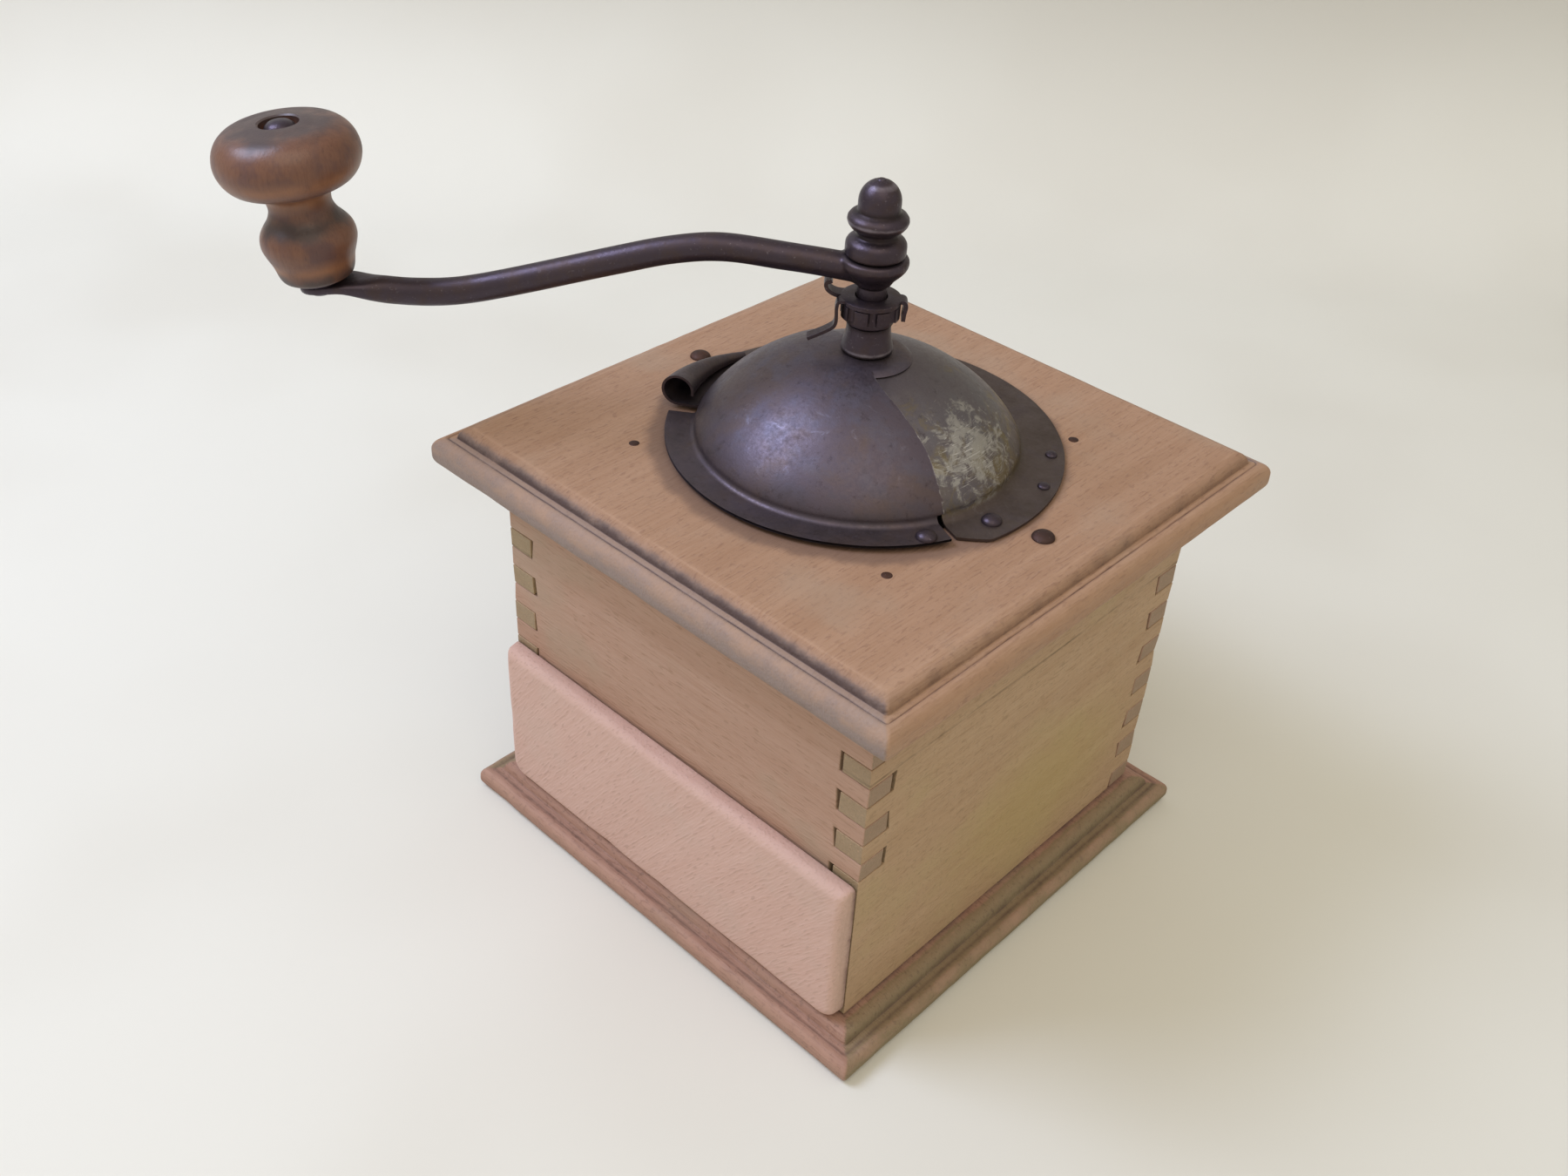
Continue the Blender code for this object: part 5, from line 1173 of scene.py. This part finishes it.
def make_crank(iron):
    """The bar and its eye, run together as the smith forged them."""
    path = crank_path()
    bar = lofted([bar_section(path, index) for index in range(len(path))])
    top = ACORN_Z - GAP
    foot = top - EYE_HEIGHT
    eye = lathed([(0, top), (EYE_RADIUS - 1.0 * MM, top), (EYE_RADIUS - 0.3 * MM, top - 0.3 * MM),
                  (EYE_RADIUS, top - 0.9 * MM), (EYE_RADIUS, top - 2.0 * MM), (7.9 * MM, top - 3.1 * MM),
                  (6.9 * MM, top - 4.2 * MM), (5.7 * MM, top - 5.4 * MM), (4.9 * MM, top - 6.5 * MM),
                  (4.6 * MM, foot), (0, foot)], 72)
    item = put_in_scene("forged_crank", mesh_of("forged_crank", put_together([bar, eye])))
    weld = item.modifiers.new("forge_weld", 'REMESH')
    weld.mode = 'VOXEL'
    weld.voxel_size = 0.42 * MM
    soften = item.modifiers.new("hammered_smooth", 'SMOOTH')
    soften.factor = 0.5
    soften.iterations = 14
    make_plain(item)
    item.data.transform(Matrix.Rotation(CRANK_TURN, 4, 'Z'))
    item.data.materials.clear()
    item.data.materials.append(iron)
    item.data.shade_smooth()
    settle(item, "spindle", ["crank_arm"])


def make_knob(wood, iron):
    """The turned knob, the pin it spins on and the washer under its foot."""
    top = KNOB_FOOT + KNOB_LENGTH
    body = [(7.6, 0.0), (8.6, 0.5), (9.2, 1.6), (9.6, 3.2), (10.0, 4.8), (10.8, 6.8), (11.5, 9.0),
            (11.5, 10.8), (11.0, 12.4), (9.9, 14.0), (8.6, 15.6), (7.7, 17.6), (7.6, 19.2),
            (8.1, 21.2), (9.6, 22.6), (12.2, 23.5), (14.6, 24.6), (16.4, 26.8), (17.3, 29.8),
            (16.9, 32.8), (15.6, 35.2), (13.6, 36.9), (11.4, 37.7), (9.0, 38.0), (6.8, 38.3), (5.2, 38.4)]
    outline = [(r * MM, KNOB_FOOT + h * MM) for r, h in smooth_line(body, 3)]
    outline += [(4.75 * MM, top - 0.3 * MM), (4.65 * MM, top - 2.4 * MM), (2.6 * MM, top - 2.6 * MM),
                (2.6 * MM, KNOB_FOOT)]
    lean = Vector((0, 0, 1)).rotation_difference(KNOB_AXIS).to_matrix().to_4x4()
    place = Matrix.Translation(KNOB_PLACE) @ lean
    # Painted shade with dirt in the creases; wear on the bulges.
    creases = [KNOB_FOOT + h * MM for h in (1.2, 15.0, 38.4)]
    bulges = [KNOB_FOOT + h * MM for h in (4.5, 21.0, 27.5)]
    marks = {"shade_and_grime": near_heights(creases, 4.0 * MM), "wear": near_heights(bulges, 5.5 * MM)}
    make_piece("turned_knob", lathed(outline, 96), wood, "knob", ["knob"],
               marks=marks, place=place)

    seat = top - 2.3 * MM
    crown = seat + 2.8 * MM
    tail = -PAD_THICKNESS / 2 - GAP
    pin = [(0, crown), (1.4 * MM, crown - 0.12 * MM), (2.6 * MM, crown - 0.55 * MM),
           (3.5 * MM, crown - 1.3 * MM), (4.0 * MM, seat), (2.3 * MM, seat), (2.3 * MM, tail),
           (3.4 * MM, tail), (2.9 * MM, tail - 0.4 * MM), (1.6 * MM, tail - 0.6 * MM), (0, tail - 0.65 * MM)]
    make_piece("riveted_knob_pin", lathed(pin, 48), iron, "spindle", ["knob_pin"], place=place)
    washer = [(2.6 * MM, 1.6 * MM), (2.6 * MM, 2.1 * MM), (6.3 * MM, 2.1 * MM), (6.5 * MM, 1.9 * MM),
              (6.4 * MM, 1.6 * MM)]
    make_piece("knob_foot_washer", lathed(washer, 48), iron, "spindle", ["knob_washer"],
               place=place)


# ---- nails, screws and rivets ------------------------------------------------

def pin_tree():
    """Round heads on shanks, one standing on each point, each a little askew."""
    tree = bpy.data.node_groups.new("driven_pins", "GeometryNodeTree")
    tree.interface.new_socket("Geometry", in_out='INPUT', socket_type='NodeSocketGeometry')
    for label in ("Head Radius", "Head Height", "Shank Radius", "Shank Length"):
        tree.interface.new_socket(label, in_out='INPUT', socket_type='NodeSocketFloat').default_value = 2 * MM
    tree.interface.new_socket("Tilt", in_out='INPUT', socket_type='NodeSocketFloat').default_value = 0.03
    tree.interface.new_socket("Finish", in_out='INPUT', socket_type='NodeSocketMaterial')
    tree.interface.new_socket("Geometry", in_out='OUTPUT', socket_type='NodeSocketGeometry')
    given = tree.nodes.new("NodeGroupInput").outputs
    ball = add(tree, "GeometryNodeMeshUVSphere", "Mesh", {"Segments": 28, "Rings": 16, "Radius": 1.0})
    size = add(tree, "ShaderNodeCombineXYZ", 0, {
        "X": given["Head Radius"], "Y": given["Head Radius"], "Z": given["Head Height"]})
    cap = add(tree, "GeometryNodeTransform", 0, {"Geometry": ball, "Scale": size})
    point = add(tree, "GeometryNodeInputPosition")
    height = add(tree, "ShaderNodeSeparateXYZ", "Z", {0: point})
    below = add(tree, "FunctionNodeCompare", 0, {0: height, 1: -0.01 * MM}, operation='LESS_THAN')
    half = add(tree, "GeometryNodeDeleteGeometry", 0, {"Geometry": cap, "Selection": below})
    down = add(tree, "ShaderNodeMath", 0, {0: given["Shank Length"], 1: -0.5}, operation='MULTIPLY')
    drop = add(tree, "ShaderNodeCombineXYZ", 0, {"Z": down})
    stem = add(tree, "GeometryNodeMeshCylinder", "Mesh", {
        "Vertices": 16, "Radius": given["Shank Radius"], "Depth": given["Shank Length"]})
    shank = add(tree, "GeometryNodeTransform", 0, {"Geometry": stem, "Translation": drop})
    seat = add(tree, "GeometryNodeMeshCircle", "Mesh", {
        "Vertices": 28, "Radius": given["Head Radius"]}, fill_type='NGON')
    joined = tree.nodes.new("GeometryNodeJoinGeometry")
    for part in (half, seat, shank):
        tree.links.new(part, joined.inputs[0])
    sealed = add(tree, "GeometryNodeMergeByDistance", 0, {
        "Geometry": joined.outputs[0], "Distance": 0.005 * MM})
    most = add(tree, "ShaderNodeCombineXYZ", 0, {"X": given["Tilt"], "Y": given["Tilt"], "Z": 3.0})
    least = add(tree, "ShaderNodeVectorMath", 0, {0: most, "Scale": -1.0}, operation='SCALE')
    lean = add(tree, "FunctionNodeRandomValue", "Value", {"Min": least, "Max": most, "Seed": 7},
               data_type='FLOAT_VECTOR')
    placed = add(tree, "GeometryNodeInstanceOnPoints", "Instances", {
        "Points": given["Geometry"], "Instance": sealed, "Rotation": lean})
    whole = add(tree, "GeometryNodeRealizeInstances", 0, {0: placed})
    dressed = add(tree, "GeometryNodeSetMaterial", 0, {"Geometry": whole, "Material": given["Finish"]})
    tree.links.new(dressed, tree.nodes.new("NodeGroupOutput").inputs[0])
    return tree


def drive_pins(tree, name, nodes, body, finish, sizes, seat):
    """Pins where the CAD nodes stand, the undersides of their heads at the seat's height."""
    points = [(middle_of(node).x, middle_of(node).y, seat) for node in nodes]
    values = dict(zip(("Head Radius", "Head Height", "Shank Radius", "Shank Length", "Tilt"), sizes))
    values["Finish"] = finish
    item = grown(name, tree, values, points)
    item.data.shade_smooth()
    item.data.set_sharp_from_angle(angle=radians(40))
    settle(item, body, nodes)


def make_fasteners(iron, rust):
    """Head radius and height, shank radius and length, and tilt of each kind of pin."""
    tree = pin_tree()
    drive_pins(tree, "top_nails", [f"top_nail_{k}" for k in range(1, 5)], "housing", rust,
               (1.55 * MM, 0.45 * MM, 0.9 * MM, 20 * MM, 0.05), BOARD_TOP - 0.2 * MM)
    drive_pins(tree, "top_screws", ["top_screw_left", "top_screw_right"], "housing", rust,
               (2.9 * MM, 1.5 * MM, 1.6 * MM, 20 * MM, 0.07), BOARD_TOP)
    drive_pins(tree, "flange_nails", ["flange_nail_1", "flange_nail_2"], "housing", iron,
               (1.6 * MM, 0.8 * MM, 0.9 * MM, 12 * MM, 0.03), FLANGE_Z + 0.1 * MM)
    drive_pins(tree, "flange_rivets", ["flange_rivet"], "housing", iron,
               (2.6 * MM, 1.6 * MM, 0.9 * MM, 12 * MM, 0.03), FLANGE_Z + 0.05 * MM)
    drive_pins(tree, "lid_studs", ["lid_stud"], "lid", iron,
               (2.6 * MM, 1.7 * MM, 0.9 * MM, 1.9 * MM, 0.0), FLANGE_Z + 1.05 * MM)


# ---- inside ------------------------------------------------------------------

def make_hopper(sheet):
    """The pressed funnel under the dome, its rim in the board's rebate."""
    low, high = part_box("hopper_bowl")
    rim = high.z
    outline = [(43.2 * MM, rim - 0.7 * MM), (43.2 * MM, rim), (38.0 * MM, rim)]
    outline += smooth_line([(36.8 * MM, rim - 2.2 * MM), (27.5 * MM, rim - 11.5 * MM), (15.3 * MM, low.z)], 8)
    outline += [(16.5 * MM, low.z)]
    outline += smooth_line([(28.5 * MM, rim - 12.0 * MM), (37.9 * MM, rim - 2.8 * MM),
                            (39.6 * MM, rim - 0.75 * MM)], 4)
    make_piece("hopper_funnel", lathed(outline, 96), sheet, "housing", ["hopper_bowl"],
               marks={"shade_and_grime": lambda point: 0.4})


def dress_inner_nodes(tray, iron, casting):
    """Nodes whose CAD shape is right get eased edges or their finish alone."""
    for number in range(1, 5):
        node = f"corner_block_{number}"
        eased_copy(node, node + "_look", tray, "housing", 0.5 * MM)
    for node in ("drawer_left_side", "drawer_right_side", "drawer_back", "drawer_bottom"):
        eased_copy(node, node.replace("drawer", "tray"), tray, "drawer")
    eased_copy("lower_bridge", "forged_lower_bridge", casting, "housing", 0.4 * MM)
    plain = {"burr_ring": casting, "burr_cone": casting, "sleeve_nut": iron}
    for group, count in (("bridge_screw", 2), ("ring_bolt", 2), ("base_screw", 4)):
        plain.update({f"{group}_{number}": iron for number in range(1, count + 1)})
    for node, finish in plain.items():
        frame["nodes"][node].data.materials.clear()
        frame["nodes"][node].data.materials.append(finish)


# ---- studio ------------------------------------------------------------------

FLOOR_REACH = 2.2
SWEEP_START = 0.38                # metres behind the mill's axis
SWEEP_RADIUS = 0.12
BACKDROP_TOP = 1.6


def make_camera():
    data = bpy.data.cameras.new("camera")
    data.lens = CAMERA_LENS
    data.sensor_width = 36
    data.clip_start = 0.01
    camera = put_in_scene("camera", data)
    bpy.context.scene.camera = camera
    az, el, roll = CAMERA_AZIMUTH, CAMERA_ELEVATION, CAMERA_ROLL
    ahead = Vector((-sin(az) * cos(el), cos(az) * cos(el), -sin(el)))
    level = Vector((cos(az), sin(az), 0))
    above = level.cross(ahead)
    right = level * cos(roll) + above * sin(roll)
    up = above * cos(roll) - level * sin(roll)
    turn = Matrix((right, up, -ahead)).transposed().to_4x4()
    camera.matrix_world = Matrix.Translation(CAMERA_PLACE) @ turn


def make_lamp(name, azimuth, elevation, distance, size, power, code):
    """A square soft light that looks at the mill's middle, with angles in radians."""
    data = bpy.data.lights.new(name, 'AREA')
    data.shape = 'SQUARE'
    data.size = size
    data.energy = power
    data.color = linear(code)[:3]
    lamp = put_in_scene(name, data)
    aim = Vector((0, 0, 90 * MM))
    outward = Vector((cos(azimuth) * cos(elevation), sin(azimuth) * cos(elevation), sin(elevation)))
    lamp.location = aim + outward * distance
    lamp.rotation_euler = outward.to_track_quat('Z', 'Y').to_euler()


def make_studio(paper):
    """A pale floor that sweeps up into a pale wall behind the mill."""
    behind = Vector((-sin(CAMERA_AZIMUTH), cos(CAMERA_AZIMUTH), 0))
    across = Vector((cos(CAMERA_AZIMUTH), sin(CAMERA_AZIMUTH), 0))
    section = [(-FLOOR_REACH, 0.0), *arc(SWEEP_START, SWEEP_RADIUS, SWEEP_RADIUS, -90, 0, 15),
               (SWEEP_START + SWEEP_RADIUS, BACKDROP_TOP)]
    verts = [behind * back + across * side + Vector((0, 0, height))
             for back, height in section for side in (-FLOOR_REACH, FLOOR_REACH)]
    faces = [(2 * k, 2 * k + 1, 2 * k + 3, 2 * k + 2) for k in range(len(section) - 1)]
    mesh = bpy.data.meshes.new("studio_sweep")
    mesh.from_pydata(verts, [], faces)
    mesh.materials.append(paper)
    mesh.shade_smooth()
    put_in_scene("studio_sweep", mesh)

    world = bpy.data.worlds.new("soft_room")
    world.use_nodes = True
    bpy.context.scene.world = world
    background = world.node_tree.nodes["Background"]
    background.inputs["Color"].default_value = linear("#f4eee4")
    background.inputs["Strength"].default_value = 0.78
    make_lamp("window", radians(-138), radians(50), 1.1, 0.5, 8.6, "#d0dcff")
    make_lamp("room", radians(-40), radians(60), 1.6, 1.2, 5.4, "#fff4e2")
    bpy.context.scene.view_settings.view_transform = 'Standard'


# ---- assembly ----------------------------------------------------------------

nail_places = [(*middle_of(f"top_nail_{k}").xy, BOARD_TOP) for k in range(1, 5)]
screw_places = [(middle_of(node).x, 0, BOARD_TOP) for node in ("top_screw_left", "top_screw_right")]

# Tones of the beech: pale, dark, fleck, end grain, weathered, and painted shade with dirt
TOP_TONES = ("#ae8d73", "#977459", "#7b5a48", "#877771", "#a08872", "#4f3f3c")
BASE_TONES = ("#ae8b78", "#916d5b", "#725241", "#7d6f50", "#93806b", "#54403a")
FRONT_TONES = ("#b69682", "#9f7c65", "#83654a", "#8a7b64", "#a28c76", "#56463c")
SIDE_TONES = ("#ba9f80", "#a28465", "#866c4f", "#86765c", "#ac9670", "#544a38")
DRAWER_TONES = ("#cdad9f", "#bf9c8c", "#a08474", "#b09584", "#c1a596", "#6a5047")
TRAY_TONES = ("#b99a7e", "#9b7a5e", "#7c5e48", "#8c745c", "#a58a70", "#5b4a3c")

top_board_finish = planed_beech("oiled_beech_top", "Y", TOP_TONES, [
    tinted_sides("#857872", "Y", HALF_BOX + 7.5 * MM, 0.6), speckled("#6d5549", 0.2),
    dark_round_flange, stain_round_pins(nail_places, 3.2 * MM), stain_round_pins(screw_places, 5.6 * MM)])
base_board_finish = planed_beech("oiled_beech_base", "X", BASE_TONES, [
    tinted_sides("#7f7254", "X", HALF_BOX + 1 * MM, 0.75), speckled("#5f4c40", 0.35)])
# Front and back walls: a painted shade at the top, under the top board's overhang.
front_wall_finish = planed_beech("oiled_beech_front", "X", FRONT_TONES, [
    painted_shade_under_board("#8b8070", BOARD_BOTTOM - 14 * MM, BOARD_BOTTOM, 0.6)])
# Side walls: among their real marks, a painted shade at the top, under the top board's overhang.
side_wall_finish = planed_beech("oiled_beech_sides", "Y", SIDE_TONES, [
    glue_line(103 * MM, "#5c4c36"), glue_line(91 * MM, "#64543c"), speckled("#75664a", 0.25),
    stain_at("#a8955c", (HALF_BOX, 14 * MM, 38 * MM), 34 * MM, (1, 0.75, 1.2), 0.5),
    painted_shade_under_board("#94806a", BOARD_BOTTOM - 12 * MM, BOARD_BOTTOM, 0.55)])
drawer_finish = planed_beech("sanded_beech_drawer", "X", DRAWER_TONES, slant=radians(53), coarseness=0.7)
tray_finish = planed_beech("sawn_beech", "Y", TRAY_TONES, coarseness=0.72)
lid_finish = patinated_sheet("patinated_sheet_steel", ("#595058", "#5f5049", "#5b5a68", "#858394"))
shell_finish = patinated_sheet("varnished_sheet_steel", ("#6a6467", "#71675f", "#706f72", "#8d8b8c"),
                               old_varnish)
iron_finish = forged_iron("browned_forged_iron", "#443b43", "#4a3d3b", 0.4)
rust_finish = forged_iron("rusted_nail_iron", "#4a3833", "#5d4033", 0.6)
casting_finish = forged_iron("oiled_cast_iron", "#56524e", "#4d443c", 0.55)
knob_finish = polished_beech("waxed_stained_beech")

make_top_board(top_board_finish)
make_base_board(base_board_finish)
make_walls({"front_panel": front_wall_finish, "back_panel": front_wall_finish,
            "left_panel": side_wall_finish, "right_panel": side_wall_finish})
make_drawer_front(drawer_finish)
make_fixed_shell(shell_finish)
make_lid(lid_finish)
make_sleeve(iron_finish)
make_adjusting_nut(iron_finish)
make_lock_plate(iron_finish)
make_shaft(iron_finish)
make_acorn(iron_finish)
make_crank(iron_finish)
make_knob(knob_finish, iron_finish)
make_fasteners(iron_finish, rust_finish)
make_hopper(shell_finish)
dress_inner_nodes(tray_finish, iron_finish, casting_finish)
make_camera()
make_studio(studio_paper())
